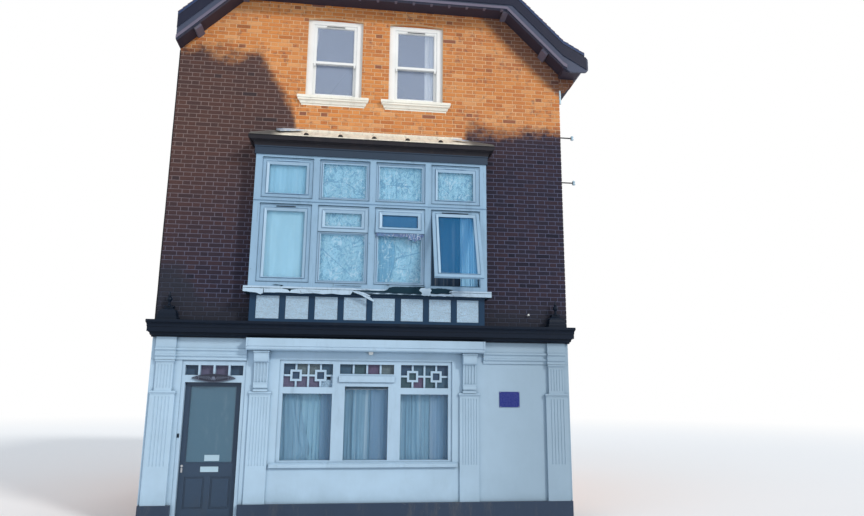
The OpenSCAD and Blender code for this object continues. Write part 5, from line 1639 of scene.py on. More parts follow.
@dataclass
class RoofTiles:
    """Plain tiles laid in broken bond on every face of the roof.

    Attributes:
        width: width of a tile. gauge: height that shows. tail: thickness at its foot.
        verge: how far the slopes reach from the middle. kick_run: width of the kicked eaves.
        hip_out: how far the hips stand out from the walls.
    """

    tile: Finish
    width: float = 0.165
    gauge: float = 0.1
    tail: float = 0.016
    verge: float = BACK + 0.318
    kick_run: float = 0.366
    hip_out: float = VERGE + 0.006
    seed: int = 11

    def slopes(self) -> list[Slope]:
        """Works out the faces of the roof.

        Returns:
            The five faces.
        """
        s = math.sqrt(0.5)
        hip_run = RIDGE_START + self.hip_out

        def main(v: float) -> Flat:
            """Works out the reach of a long slope.

            Args:
                v: distance up the slope.

            Returns:
                The least and greatest u.
            """
            plan = abs(HALF_W - v * s)
            edge = self.verge if plan > RIDGE_START + VERGE else BACK - RIDGE_START + plan
            return -edge, edge

        def hip(v: float) -> Flat:
            """Returns the reach of a hip."""
            return v * s - hip_run, hip_run - v * s

        c, k = math.cos(KICK), math.sin(KICK)
        kick = Plane((HALF_W + self.kick_run, 0, EAVES_TOP - self.kick_run * math.tan(KICK)), (-c, 0, k), (k, 0, c))
        long = [Slope(name, Plane((way * HALF_W, 0, EAVES_TOP), (-way * s, 0, s), (way * s, 0, s)), HALF_W / s, main)
                for name, way in (("left", -1), ("right", 1))]
        hips = [Slope(name, Plane((0, way * (BACK + self.hip_out), HIP_EDGE - 0.006), (0, -way * s, s),
                                  (0, way * s, s)), hip_run / s, hip) for name, way in (("front", -1), ("back", 1))]
        return [*long, Slope("kick", kick, self.kick_run / c, lambda _: (-self.verge, self.verge)), *hips]

    def build(self) -> Pieces:
        """Lays the tiles.

        Returns:
            A piece for each face.
        """
        chance = np.random.default_rng(self.seed)
        made = []
        for slope in self.slopes():
            scatter = Scatter(f"tiles_{slope.name}", Template.TILE, 0.006, self.seed)
            turn = slope.plane.turn
            rows = max(1, round(slope.length / self.gauge))
            gauge = slope.length / rows
            for row in range(rows):
                v = row * gauge
                u0, u1 = slope.reach(v + gauge / 2)
                u = u0 - (self.width / 2 if row % 2 else 0.0)
                while u < u1:
                    a0, a1 = max(u + 0.001, u0), min(u + self.width - 0.001, u1)
                    u += self.width
                    if a1 - a0 < 0.02:
                        continue
                    size = (a1 - a0, min(gauge * 1.35, slope.length - v), self.tail * chance.uniform(0.85, 1.2))
                    place = slope.plane.at((a0 + a1) / 2, v + chance.uniform(0, 0.004))
                    scatter.add(place, size, turn, float(chance.beta(1.6, 1.8)))
            made.append(scatter.build(self.tile, "roof_tile"))
        return made


# ---------------------------------------------------------------- cloth


@dataclass
class Hanging:
    """A curtain, net or rag that hangs in folds from a line.

    Attributes:
        name: the piece's name.
        finish: its cloth.
        span: its left and right edges.
        depth: the y of its middle plane.
        folds: number of folds across.
        swell: half depth of the folds.
        seed: seed of the folds.
        heights: its foot and its head.
        rests_on: what it hangs from; not used.
        held: how it is held; not used.
        drift: how far the folds wander on their way down.
        ragged: how far the hem is torn.
        shape: returns the shifts in x and z at a share across and a share down.
        down: number of steps from head to foot.
    """

    name: str
    finish: Finish
    span: Flat
    depth: float
    folds: float
    swell: float
    seed: int
    heights: Flat = (3.50, 4.80)
    rests_on: str = "oriel_frame"
    held: str = "gathered"
    drift: float = 0.0
    ragged: float = 0.0
    shape: Callable[[float, float], Flat] | None = None
    down: int = 26

    def build(self) -> bpy.types.Object:
        """Returns:
            The cloth.
        """
        chance = np.random.default_rng(self.seed)
        across = max(24, int(self.folds * 16))
        share = np.linspace(0, 1, across + 1)
        warp = share + 0.35 / max(self.folds, 1) * np.sin(2 * math.pi * (share * 1.7 + chance.random()))
        phase = 2 * math.pi * self.folds * warp
        second = 2 * math.pi * (self.folds * 2.3 * share + chance.random())
        width, height = self.span[1] - self.span[0], self.heights[1] - self.heights[0]
        verts = []
        for j in range(self.down + 1):
            t = j / self.down
            slack = 0.75 + 0.35 * t
            for i, f in enumerate(share):
                wave = math.sin(phase[i] + 0.6 * self.drift * math.sin(3.1 * t))
                wave += 0.28 * math.sin(second[i] + 2.2 * t)
                dx, dz = self.shape(f, t) if self.shape else (0.0, 0.0)
                hem = self.ragged * (math.sin(9 * f) + 0.5 * math.sin(23 * f)) if j == self.down else 0.0
                verts.append((self.span[0] + width * f + dx, self.depth + self.swell * slack * wave,
                              self.heights[1] - height * t + dz + hem))
        row = across + 1
        mesh = raw_mesh(self.name, verts, [(k + row, k + row + 1, k + 1, k) for j in range(self.down)
                                           for k in range(j * row, j * row + across)])
        mesh.polygons.foreach_set("use_smooth", [True] * len(mesh.polygons))
        piece = plain_object(self.name, mesh, self.finish, "curtain_cloth")
        line = verts[self.down // 2 * row:][:row]
        arc = sum(math.dist(a, b) for a, b in zip(line, line[1:]))
        return piece


def build_rail(y: float, z: float, finish: Finish) -> bpy.types.Object:
    """Builds the rail of the shop window, with its two end caps and its brackets.

    Args:
        y: the y of its middle.
        z: its height.
        finish: its metal.

    Returns:
        The rail as one piece.
    """
    rail = Shape()
    rail.sweep(0.011, 12, [(-1.30, y, z), (0, y, z), (1.30, y, z)], (0, 1, 0))
    for end in (-1, 1):
        rail.turned([(0.001, 0), (0.017, 0.002), (0.020, 0.012), (0.014, 0.022), (0.002, 0.026)],
                    (end * 1.278, y, z), (end, 0, 0))
    for x in (-1.24, -0.44, 0.44, 1.24):
        rail.block((x - 0.008, y - 0.006, z - 0.03), (x + 0.008, y + 0.012, z + 0.016), 0.003)
    return rail.piece("curtain_rail", finish, "bright_metal")


def build_cloth() -> Pieces:
    """Builds the curtains, the nets and the rags, and the rail of the shop window.

    Returns:
        The pieces.
    """
    rail_y = FRONT + 0.15
    made = [build_rail(rail_y, 1.957, Palette.rail)]
    edge = -1.01
    parting = ((0, edge), (0.3, -0.965), (0.5, -0.915), (0.72, -0.85), (0.86, -0.80), (0.94, -0.835), (1, -0.92))

    def part(across: float, down: float) -> Flat:
        """Returns the shift that carries the left curtain's edge along its parting."""
        return across * (float(np.interp(down, *zip(*parting))) - edge), 0.0

    shop = partial(Hanging, heights=(0.905, 1.955), rests_on="curtain_rail")
    top = partial(Hanging, rests_on="sash_windows")
    front, behind, net_y = rail_y - 0.010, rail_y + 0.012, FRONT - 0.208
    sheets = [shop("shop_curtain_left", Palette.curtain, (-1.275, edge), front, 2.2, 0.008, 21, shape=part),
              shop("shop_curtain_left_end", Palette.mauve, (-0.68, -0.485), front, 1.4, 0.008, 22),
              shop("shop_net_left", Palette.net, (-1.26, -0.49), behind, 11, 0.012, 23, drift=1.4),
              shop("shop_curtain_centre", Palette.curtain, (-0.375, 0.09), behind, 4.2, 0.013, 8, drift=1.0),
              shop("shop_curtain_centre_end", Palette.mauve, (0.07, 0.375), front, 1.3, 0.007, 9),
              shop("shop_curtain_right", Palette.curtain, (0.49, 1.0), behind, 4.6, 0.012, 34, drift=1.3),
              shop("shop_curtain_right_end", Palette.mauve, (0.985, 1.27), front, 1.2, 0.007, 35)]
    for i, x in enumerate(ORIEL_STARTS[:3]):
        sheets.append(Hanging(f"oriel_net_{i + 1}", Palette.creased if i else Palette.smooth, (x + 0.01, x + 0.75),
                              net_y + (0.024 if i == 2 else 0), 2 + i, 0.006, 40 + i,
                              (3.50, 4.30 if i == 2 else 4.80), drift=0.8, held="hung"))
    for i, x in enumerate(ORIEL_STARTS):
        sheets.append(Hanging(f"oriel_top_net_{i + 1}", Palette.creased if i else Palette.net, (x + 0.01, x + 0.75),
                              net_y, 5 + i, 0.005, 50 + i, (4.79, 5.47), drift=0.6))
    sheets += [Hanging("light_curtain", Palette.lining, (0.085, 0.35), net_y - 0.003, 3.4, 0.006, 70, (3.51, 4.30),
                       drift=1.6, shape=lambda across, down: (-0.09 * across * down ** 3
                                                              + 0.03 * across * math.sin(math.pi * down), 0.0)),
               Hanging("casement_curtain", Palette.drape, (1.40, 1.68), FRONT - 0.190, 4.5, 0.012, 51, drift=1.5),
               # Painted shade: a dark sheet behind the open casement.
               Hanging("casement_lining", Palette.shadow, (0.94, 1.50), FRONT - 0.130, 2.2, 0.012, 52),
               Hanging("rag_strip", Palette.rag, (0.075, 0.80), -3.893, 7, 0.004, 71, (4.270, 4.316), held="hung",
                       ragged=0.005),
               Hanging("rag_end", Palette.rag, (0.565, 0.765), -3.908, 2.6, 0.006, 72, (4.215, 4.316), held="hung",
                       ragged=0.018),
               top("top_curtain_right", Palette.pale, (0.84, 1.06), FRONT + 0.155, 2.5, 0.014, 60, (6.70, 8.02),
                   drift=1.1),
               top("top_curtain_left", Palette.pale, (-1.06, -0.96), FRONT + 0.15, 1.5, 0.010, 61, (7.32, 8.02),
                   shape=lambda across, down: (-0.06 * down * down, 0.0))]
    made += [sheet.build() for sheet in sheets]
    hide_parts("shop_curtains")
    return made


# ---------------------------------------------------------------- nodes in new finishes


def dress_nodes() -> None:
    """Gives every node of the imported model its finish."""
    slots, own = Palette.by_slot(), Palette.by_node()
    for name, node in frame["nodes"].items():
        for slot in node.material_slots:
            key = slot.material.name.split(".")[0] if slot.material else ""
            finish = own.get(name) or slots.get(key)
            if finish:
                slot.material = finish.material
            else:
                LOG.warning("%s has no finish for %s", name, key)


@dataclass(frozen=True)
class Zone:
    """A box in which the faces of a node take a finish of their own.

    Attributes:
        low: its lowest corner. high: its highest corner. finish: the finish of the faces in it.
    """

    low: Point
    high: Point
    finish: Finish

    def holds(self, point: Vector) -> bool:
        """Returns whether the point lies in the box."""
        return all(a <= p <= b for a, p, b in zip(self.low, point, self.high))


def recoat(node: str, name: str, base: Finish, slot: str, *zones: Zone) -> bpy.types.Object:
    """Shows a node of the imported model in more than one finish.

    Args:
        node: the node's name.
        name: name of the piece that stands for it.
        base: the finish outside the zones.
        slot: the record's material slot.
        zones: where other finishes go.

    Returns:
        The piece, which has the node's own mesh.
    """
    source = frame["nodes"][node]
    mesh = source.data.copy()
    mesh.materials.clear()
    finishes = list(dict.fromkeys([base, *(zone.finish for zone in zones)]))
    for finish in finishes:
        mesh.materials.append(finish.material)
    store(mesh, "tint", "FLOAT", "FACE", [0.0] * len(mesh.polygons))
    for face in mesh.polygons:
        zone = next((z for z in zones if z.holds(face.center)), None)
        face.material_index = finishes.index(zone.finish) if zone else 0
    piece = plain_object(name, mesh, base, slot, Body(source["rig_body"]))
    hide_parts(node)
    return piece


def build_coats() -> Pieces:
    """Shows the nodes that are painted in more than one finish.

    Returns:
        The pieces that show them.
    """
    far = 4.0
    barges = [Zone((-far, low, 7), (far, high, 9), finish) for finish, near, end in
              ((Palette.purlin, 3.9165, 3.93), (Palette.navy, 3.9105, 3.9165))
              for low, high in ((-end, -near), (near, end))]
    blocks = []
    for side in (-1, 1):
        for mid, half, low, high in ((2.19, 0.072, 8.24, 8.33), (2.86, 0.09, 7.5, 7.72)):
            x0, x1 = sorted((side * (mid - half), side * (mid + half)))
            blocks += [Zone((x0, y0, low), (x1, y1, high), Palette.purlin) for y0, y1 in ((-far, FRONT), (BACK, far))]
    vent = Zone((0.05, -4.0, 4.3), (0.83, -3.80, 4.72), Palette.vent_glass)
    opened = Zone((0.9, -4.4, 3.5), (1.75, -3.842, 4.75), Palette.open_glass)
    fixed = Zone((-0.83, -3.880, 3.4), (0.83, -3.80, 5.5), Palette.bead)
    plate = Zone((-2.4, -3.6, 0.7), (-2.05, -3.4, 0.9), Palette.fitting)
    bed = Zone((-far, -far, 5.5), (far, -3.5, 5.635), Palette.bed)
    edges = [Zone((-far, low, 7), (far, high, 12), Palette.verge) for low, high in ((-3.93, -3.91), (3.91, 3.93))]
    return [recoat("oriel_cornice", "oriel_crown", Palette.crown, "black_timber", bed),
            recoat("roof_slope_left", "left_slope", Palette.tile, "roof_tile", *edges),
            recoat("roof_slope_right", "right_slope", Palette.tile, "roof_tile", *edges),
            recoat("bargeboards", "barge_boards", Palette.barge, "dark_timber", *barges),
            recoat("soffit_boxes", "soffits", Palette.soffit, "dark_timber", *blocks),
            recoat("oriel_glass", "oriel_panes", Palette.oriel_glass, "glass", opened, vent),
            recoat("oriel_casements", "casement_rails", Palette.oriel_white, "white_timber", fixed),
            recoat("sash_glass", "sash_panes", Palette.sash_glass, "glass"),
            recoat("door_furniture", "door_plates", Palette.steel, "bright_metal", plate)]


# ---------------------------------------------------------------- shopfront


@dataclass
class Panes:
    """The glass of the shopfront: clear panes, tinted obscure lights, and one patched with a board.

    Attributes:
        back: the y of the inside of the glass. thick: its thickness.
        side: width of a quartered light, and its foot and its head.
        badge: half of the square at the middle of a quartered light.
    """

    back: float = FRONT + 0.086
    thick: float = 0.006
    side: Point = (0.365, 1.98, 2.325)
    badge: float = 0.05

    def tinted_cells(self) -> list[tuple[float, float, float, float, float, int]]:
        """Lists the tinted panes.

        Returns:
            Left, right, foot, head, how far forward and which colour, for each.
        """
        width, z0, z1 = self.side
        zm, b = (z0 + z1) / 2, self.badge
        cells = []
        for start, panels in ((-1.245, ((0, 3, 1, 1, 2), (3, 5, 1, 7, 2))),
                              (0.515, ((2, 5, 6, 4, 6), (5, 2, 6, 5, 2)))):
            for k, (tl, tr, bl, br, mid) in enumerate(panels):
                x0 = start + k * width
                xm, x1 = x0 + width / 2, x0 + width
                cells += [(x0, xm, zm, z1, 0, tl), (xm, x1, zm, z1, 0, tr), (x0, xm, z0, zm, 0, bl),
                          (xm, x1, z0, zm, 0, br), (xm - b, xm + b, zm - b, zm + b, 0.004, mid)]
        for x0, wide, pitch, foot, head, forward, tints in ((-0.41, 0.205, 0.205, 2.18, 2.325, 0, (5, 6, 4, 3)),
                                                            (-2.6665, 0.18725, 0.21525, 2.14, 2.285, -0.01,
                                                             (0, 1, 1, 0))):
            cells += [(x0 + i * pitch, x0 + i * pitch + wide, foot, head, forward, tint)
                      for i, tint in enumerate(tints)]
        return cells

    def build(self) -> Pieces:
        """Builds the glass and the slot in the board.

        Returns:
            The clear panes, the tinted ones and the slot.
        """
        clear = Shape()
        for x0, x1, top in ((-1.245, -0.515, 1.885), (-0.327, 0.327, 1.995), (0.515, 1.245, 1.885)):
            clear.block((x0, self.back - self.thick, 0.925), (x1, self.back, top))
        made = [clear.piece("shop_panes", Palette.glass, "glass")]
        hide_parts("shop_glass")
        verts, faces, tints = [], [], []
        for x0, x1, z0, z1, forward, tint in self.tinted_cells():
            back = self.back - forward
            k = len(verts)
            verts += [(x, y, z) for y in (back - self.thick, back) for x, z in ((x0, z0), (x1, z0), (x1, z1), (x0, z1))]
            faces += [(k, k + 1, k + 2, k + 3), (k + 7, k + 6, k + 5, k + 4)]
            faces += [(k + i, k + 4 + i, k + 4 + (i + 1) % 4, k + (i + 1) % 4) for i in range(4)]
            tints += [tint / 7] * 6
        mesh = raw_mesh("tinted_panes", verts, faces)
        store(mesh, "tint", "FLOAT", "FACE", tints)
        made.append(plain_object("tinted_panes", mesh, Palette.tinted, "glass"))
        slot = Shape()
        slot.block((-0.600, self.back - 0.012, 2.092), (-0.548, self.back - 0.003, 2.146), 0.002)
        return [*made, slot.piece("patch_slot", Palette.black, "black_timber")]


def build_edges() -> Pieces:
    """Builds the painted returns of the ground floor's corners and the mastic joint.

    Returns:
        The pieces.
    """
    returns = Shape()
    for side in (-1, 1):
        for inner, foot, head in ((3.0, 0.333, 2.36), (3.086, 2.361, 2.684)):
            low, high = sorted((side * inner, side * (HALF_W + 0.008)))
            returns.block((low, FRONT - 0.006, foot), (high, FRONT + 0.22, head), 0.003)
    joint = Shape()
    joint.torn([(-3.156, 2.95), (-3.140, 2.95), (-3.143, 5.2), (-3.141, 7.3), (-3.156, 7.3)], 0.0015, 3, 0.2,
               0.0, 0.0085)
    return [returns.piece("corner_returns", Palette.render, "white_render"),
            joint.piece("party_joint", Palette.iron, "black_iron")]


@dataclass
class Crest:
    """The carved crest on the rail over the street door: scrolls and leaves round a boss.

    Attributes:
        middle: its middle along the front. level: its height. half: half of its length.
        rise: how far it reaches up from its level. drop: how far down.
    """

    middle: float = -2.25
    level: float = 2.094
    half: float = 0.315
    rise: float = 0.064
    drop: float = 0.060

    def lower(self, t: float) -> float:
        """Returns the height of its lower edge at a share of its half length."""
        return self.level - self.drop * (1 - t ** 2) ** 1.2

    def ground(self) -> Shape:
        """Shapes the board, a pointed lens.

        Returns:
            The board.
        """
        shape = Shape()
        upper = [(self.middle + self.half * k / 16, self.level + self.rise * (1 - (k / 16) ** 2) ** 0.8)
                 for k in range(16, -17, -1)]
        shape.prism([*upper, *((self.middle + self.half * k / 16, self.lower(k / 16)) for k in range(-15, 16))],
                    -0.012, 0.010)
        return shape

    def relief(self) -> Shape:
        """Shapes the carving.

        Returns:
            The carving.
        """
        shape = Shape()
        for side in (-1, 1):
            scroll = []
            for k in range(44):
                turn, radius = k / 43 * 2.6 * math.pi, 0.036 * (1 - k / 52)
                scroll.append((self.middle + side * (0.235 + radius * math.cos(turn)), FRONT - 0.013,
                               self.level + radius * math.sin(turn)))
            shape.sweep(0.0055, 8, scroll, (0, -1, 0))
            for j in range(5):
                leaf = [(self.middle + side * (0.02 + 0.036 * j + 0.055 * t),
                         FRONT - 0.012 - 0.004 * math.sin(math.pi * t),
                         self.level - 0.034 + 0.008 * j + (0.06 - 0.008 * j) * t ** 0.7) for t in np.linspace(0, 1, 9)]
                shape.sweep(0.006 - 0.0005 * j, 8, leaf, (0, -1, 0))
            edge = [(self.middle + side * self.half * t * 0.97, FRONT - 0.012, self.lower(t * 0.97) + 0.006)
                    for t in np.linspace(0, 1, 18)]
            shape.sweep(0.0045, 8, edge, (0, -1, 0))
        shape.turned([(0.001, 0), (0.024, 0.002), (0.028, 0.010), (0.020, 0.018), (0.008, 0.021), (0.001, 0.022)],
                     (self.middle, FRONT - 0.006, self.level), (0, -1, 0), 20)
        return shape

    def build(self) -> Pieces:
        """Builds the board and its carving.

        Returns:
            The pieces.
        """
        made = [self.ground().piece("carved_crest", Palette.oak, "weathered_oak"),
                self.relief().piece("crest_relief", Palette.relief, "weathered_oak")]
        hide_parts("transom_carving")
        return made


# ---------------------------------------------------------------- oriel


@dataclass
class RottedSill:
    """The sill of the oriel: sound at its ends, broken and rotted under the two right-hand lights.

    Attributes:
        half: half of its length. face: how far its nosing stands out from the wall.
        top: its top. foot: its lower edge. step: height of the joint under its top board.
    """

    half: float = 1.865
    face: float = 0.325
    top: float = 3.44
    foot: float = 3.352
    step: float = 3.412

    def boards(self) -> Shape:
        """Shapes the painted top board with its rotted notch, and the sound parts of the face.

        Returns:
            The boards.
        """
        shape = Shape()
        plan = Plane((0, 0, 0), (0, 1, 0), (0, 0, 1))
        y0 = FRONT - self.face
        notch = [(-0.25, 0.006), (-0.215, 0.025), (-0.06, 0.037), (0.12, 0.029), (0.24, 0.041), (0.30, 0.030),
                 (0.34, 0.032), (0.80, 0.030), (0.93, 0.036), (1.0, 0.030), (1.2, 0.028), (1.235, 0.006)]
        broken = ragged([(x, y0 + deep) for x, deep in notch], 0.0035, 5, 0.03, False)
        shape.prism([(-self.half, FRONT), (-self.half, y0), (-0.27, y0), *broken, (1.245, y0), (self.half, y0),
                     (self.half, FRONT)], self.step + 0.002, self.top, plan)
        shape.torn([(-1.562, 3.345), (-1.2, 3.350), (-1.0, 3.341), (-0.85, 3.352), (-0.7, 3.340), (-0.55, 3.351),
                    (-0.42, 3.338), (-0.29, 3.344), (-0.262, 3.385), (-0.25, 3.408), (-0.95, 3.406), (-1.05, 3.409),
                    (-1.165, 3.392), (-1.181, 3.362), (-1.22, 3.394), (-1.30, 3.408), (-1.562, 3.405)],
                   0.0018, 6, 0.035, self.face - 0.022, self.face)
        shape.torn([(-self.half, 3.356), (-1.74, 3.344), (-1.66, 3.336), (-1.60, 3.312), (-1.575, 3.335),
                    (-1.568, 3.404), (-self.half, 3.406)], 0.002, 7, 0.02, self.face - 0.016, self.face + 0.004)
        shape.torn([(1.155, 3.357), (1.5, 3.354), (self.half, 3.353), (self.half, 3.408), (1.26, 3.408),
                    (1.215, 3.392), (1.17, 3.376)], 0.0015, 8, 0.03, self.face - 0.022, self.face)
        return shape

    def splinters(self) -> Shape:
        """Shapes the hanging splinters and the fragments of paint and wood about the break.

        Returns:
            The splinters and fragments.
        """
        shape = Shape()
        shape.torn([(-0.275, 3.404), (-0.20, 3.396), (-0.11, 3.362), (0.02, 3.300), (0.062, 3.262), (0.054, 3.243),
                    (-0.02, 3.278), (-0.139, 3.343), (-0.245, 3.380)], 0.003, 11, 0.03,
                   self.face - 0.006, self.face + 0.008)
        shape.torn([(-0.215, 3.405), (-0.10, 3.379), (0.008, 3.333), (0.0, 3.318), (-0.12, 3.358)],
                   0.002, 12, 0.03, self.face - 0.002, self.face + 0.014)
        shape.torn([(-0.255, 3.44), (-0.06, 3.432), (-0.02, 3.424), (0.02, 3.412), (0.05, 3.424), (0.08, 3.398),
                    (0.13, 3.390), (0.165, 3.404), (0.19, 3.424), (0.25, 3.41), (0.31, 3.430), (0.31, 3.44)],
                   0.004, 13, 0.02, 0.288, 0.296)
        shape.torn([(0.743, 3.440), (0.77, 3.468), (0.80, 3.476), (0.85, 3.466), (0.912, 3.474), (0.935, 3.44),
                    (0.916, 3.402), (0.93, 3.374), (0.913, 3.358), (0.83, 3.355), (0.775, 3.366), (0.792, 3.40),
                    (0.76, 3.422)], 0.005, 14, 0.02, 0.300, 0.315)
        shape.torn([(0.92, 3.356), (1.16, 3.353), (1.19, 3.384), (1.10, 3.390), (1.02, 3.382), (0.93, 3.388)],
                   0.003, 15, 0.025, 0.300, 0.318)
        for i, (x, z, w, h) in enumerate(((0.10, 3.372, 0.07, 0.007), (0.28, 3.376, 0.05, 0.006),
                                          (0.45, 3.372, 0.08, 0.005), (0.66, 3.371, 0.05, 0.006),
                                          (-0.12, 3.372, 0.06, 0.006))):
            shape.torn([(x - w, z), (x, z - h), (x + w, z + h * 0.3), (x, z + h)], 0.002, 20 + i, 0.015, 0.304, 0.309)
        return shape

    def cavities(self) -> Shape:
        """Shapes the dark patches that show in the holes and splits: rotted wood, darkened as painted shade in the
        holes.

        Returns:
            The wet wood.
        """
        shape = Shape()
        end = self.half - 0.004
        shape.block((-end, FRONT - 0.303, self.foot + 0.004), (end, FRONT, self.step + 0.003))
        holes = ((0.004, 0.3065, [(0.20, 3.406), (0.262, 3.436), (0.29, 3.470), (0.36, 3.480), (0.50, 3.487),
                                  (0.70, 3.489), (0.842, 3.495), (0.80, 3.472), (0.765, 3.462), (0.745, 3.436),
                                  (0.86, 3.380)]),
                 (0.003, 0.3065, [(0.905, 3.376), (0.915, 3.436), (0.925, 3.470), (1.05, 3.476), (1.16, 3.472),
                                  (1.25, 3.458), (1.29, 3.436), (1.12, 3.400)]),
                 (0.0012, 0.3005, [(-1.452, 3.466), (-1.40, 3.471), (-1.285, 3.461), (-1.30, 3.452), (-1.309, 3.421),
                                   (-1.318, 3.447), (-1.337, 3.457), (-1.42, 3.460)]),
                 (0.001, 0.3005, [(-0.55, 3.479), (-0.40, 3.483), (-0.13, 3.480), (-0.14, 3.474), (-0.42, 3.476)]),
                 (0.001, 0.3005, [(0.235, 3.508), (0.27, 3.512), (0.305, 3.506), (0.27, 3.500)]))
        for i, (reach, out, outline) in enumerate(holes):
            shape.torn(outline, reach, 30 + i, 0.02, 0.296, out)
        return shape

    def fibres(self) -> Shape:
        """Shapes the torn wood behind the break.

        Returns:
            The torn wood.
        """
        shape = Shape()
        shape.torn([(-0.25, 3.362), (0.9, 3.360), (0.9, 3.380), (0.5, 3.378), (0.1, 3.387), (-0.2, 3.398)],
                   0.004, 40, 0.02, 0.299, 0.307)
        return shape

    def build(self) -> Pieces:
        """Builds the sill.

        Returns:
            The painted boards, the fragments, the dark rotted wood in painted shade, and the torn wood.
        """
        made = [shape.piece(name, finish, "white_timber") for name, shape, finish in
                (("rotted_sill", self.boards(), Palette.rotten),
                 ("sill_fragments", self.splinters(), Palette.rotten),
                 ("sill_cavities", self.cavities(), Palette.rot), ("torn_sill", self.fibres(), Palette.torn))]
        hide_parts("oriel_sill")
        return made


@dataclass
class OrielTrim:
    """The glazing beads, the dark strips of painted shadow round the lights, the lead roll ends and flaps, and the open
    casement's slot.

    Attributes:
        width: width of a light.
        upper: foot and head of the upper lights. lower: of the lower lights. vent: foot of the vents.
        front: how far the casements stand out. glass: depth of the glass behind them.
        set_back: how far the fixed lights lie behind the casements.
        hung: the y of the hinge of an open casement.
        rails: width of a casement's rail, and of a fixed light's.
        gap: the play round an open casement.
    """

    width: float = 0.759
    upper: Flat = (4.825, 5.455)
    lower: Flat = (3.52, 4.715)
    vent: float = 4.315
    front: float = 0.286
    glass: float = 0.024
    set_back: float = 0.010
    hung: float = -3.886
    rails: Flat = (0.06, 0.034)
    gap: float = 0.006

    def leaning(self, degrees: float) -> Plane:
        """Finds the front of a casement that is hung from the transom and stands open.

        Args:
            degrees: how far it is open.

        Returns:
            The front.
        """
        lean = math.radians(degrees)
        return Plane((0, self.hung, self.lower[1]), (0, math.sin(lean), math.cos(lean)),
                     (0, -math.cos(lean), math.sin(lean)))

    def beads(self) -> Shape:
        """Shapes the glazing beads of every pane.

        Returns:
            The beads.
        """
        shape = Shape()
        wide, slim, low = (0.036, 0.036, 0.012, 0.042), (0.013, 0.013, 0.004, 0.020), (0.014, 0.014, 0.006, 0.006)
        hopper = (0.042, 0.042, 0.030, 0.042)
        opened, fixed = self.rails

        def bead(rect: Rect, rail: float, widths: Rect, front: float, plane: Plane = STREET) -> None:
            """Adds the bead of one pane.

            Args:
                rect: edges of its light.
                rail: width of the rails round it.
                widths: its widths at the four edges.
                front: how far out the rails lie.
                plane: the face of the light.
            """
            x0, x1, z0, z1 = rect
            deep = self.glass - (self.set_back if rail == fixed else 0)
            shape.frame((x0 + rail, x1 - rail, z0 + rail, z1 - rail), widths,
                        (front - 0.002, front - deep + 0.003, front - deep - 0.001), plane)

        back = self.front - self.set_back
        casement, light = (opened, wide, self.front), (fixed, slim, back)
        for i, x0 in enumerate(ORIEL_LIGHTS):
            bead((x0, x0 + self.width, *self.upper), *(casement if i in (0, 3) else light))
            if i == 0:
                bead((x0, x0 + self.width, *self.lower), opened, wide, self.front)
            elif i < 3:
                bead((x0, x0 + self.width, self.lower[0], self.vent), fixed, low, back)
        _, x1, x2, x3 = ORIEL_LIGHTS
        x3 += self.gap
        bead((x1, x1 + self.width, self.vent, self.lower[1]), opened, hopper, self.front)
        bead((x2, x2 + self.width, self.vent + self.gap - self.lower[1], 0.0), opened, hopper, 0.0, self.leaning(6))
        bead((x3, x3 + self.width - 2 * self.gap, self.lower[0] + self.gap - self.lower[1], 0.0), opened, wide, 0.0,
             self.leaning(20))
        return shape

    def joints(self) -> Shape:
        """Shapes dark strips round the lights and at the foot of the vent: painted shadow.

        Returns:
            The strips.
        """
        shape = Shape()
        near, far = self.front + 0.003, self.front + 0.0055
        for x0 in ORIEL_LIGHTS:
            x1 = x0 + self.width
            for z0, z1 in (self.lower, self.upper):
                shape.strip(x0 - 0.010, x1 + 0.010, z1 - 0.003, z1 + 0.010, near, far)
                shape.strip(x0 - 0.010, x1 + 0.010, z0 - 0.007, z0, near, far)
                shape.strip(x0 - 0.003, x0, z0, z1, near, far)
                shape.strip(x1, x1 + 0.003, z0, z1, near, far)
        x0, back = ORIEL_LIGHTS[1], self.front - self.set_back
        shape.strip(x0, x0 + self.width, self.vent - 0.009, self.vent, back, back + 0.002)
        return shape

    def rolls(self) -> Shape:
        """Shapes the dressed ends of the lead rolls.

        Returns:
            The ends.
        """
        shape = Shape()
        dome = [(0.001, -0.006), (0.020, -0.004), (0.034, 0.004), (0.040, 0.018), (0.040, 0.040), (0.034, 0.056),
                (0.022, 0.064), (0.001, 0.068)]
        for i in range(-2, 3):
            shape.turned(dome, (i * 0.528, -3.986, 5.803), (0, math.cos(ORIEL_FALL), math.sin(ORIEL_FALL)), 16)
        return shape

    def flaps(self) -> Shape:
        """Shapes the lifted corners of the flashing.

        Returns:
            The corners.
        """
        shape = Shape()
        c, s = math.cos(ORIEL_FALL), math.sin(ORIEL_FALL)
        slope = Plane((0, -3.995, 5.83), (0, c, s), (0, -s, c))
        shape.torn([(-1.55, 0.40), (-1.53, 0.18), (-1.46, 0.11), (-1.38, 0.17), (-1.26, 0.22), (-1.12, 0.33),
                    (-1.18, 0.40)], 0.006, 50, 0.02, 0.004, 0.014, slope)
        shape.torn([(1.26, 0.20), (1.32, 0.30), (1.44, 0.24), (1.53, 0.16), (1.42, 0.10)], 0.006, 51, 0.02,
                   0.004, 0.012, slope)
        return shape

    def slot(self) -> Shape:
        """Shapes the slot in the head of the open casement.

        Returns:
            The slot.
        """
        shape = Shape()
        shape.strip(1.09, 1.51, -0.052, -0.036, -0.002, 0.0012, plane=self.leaning(20))
        return shape

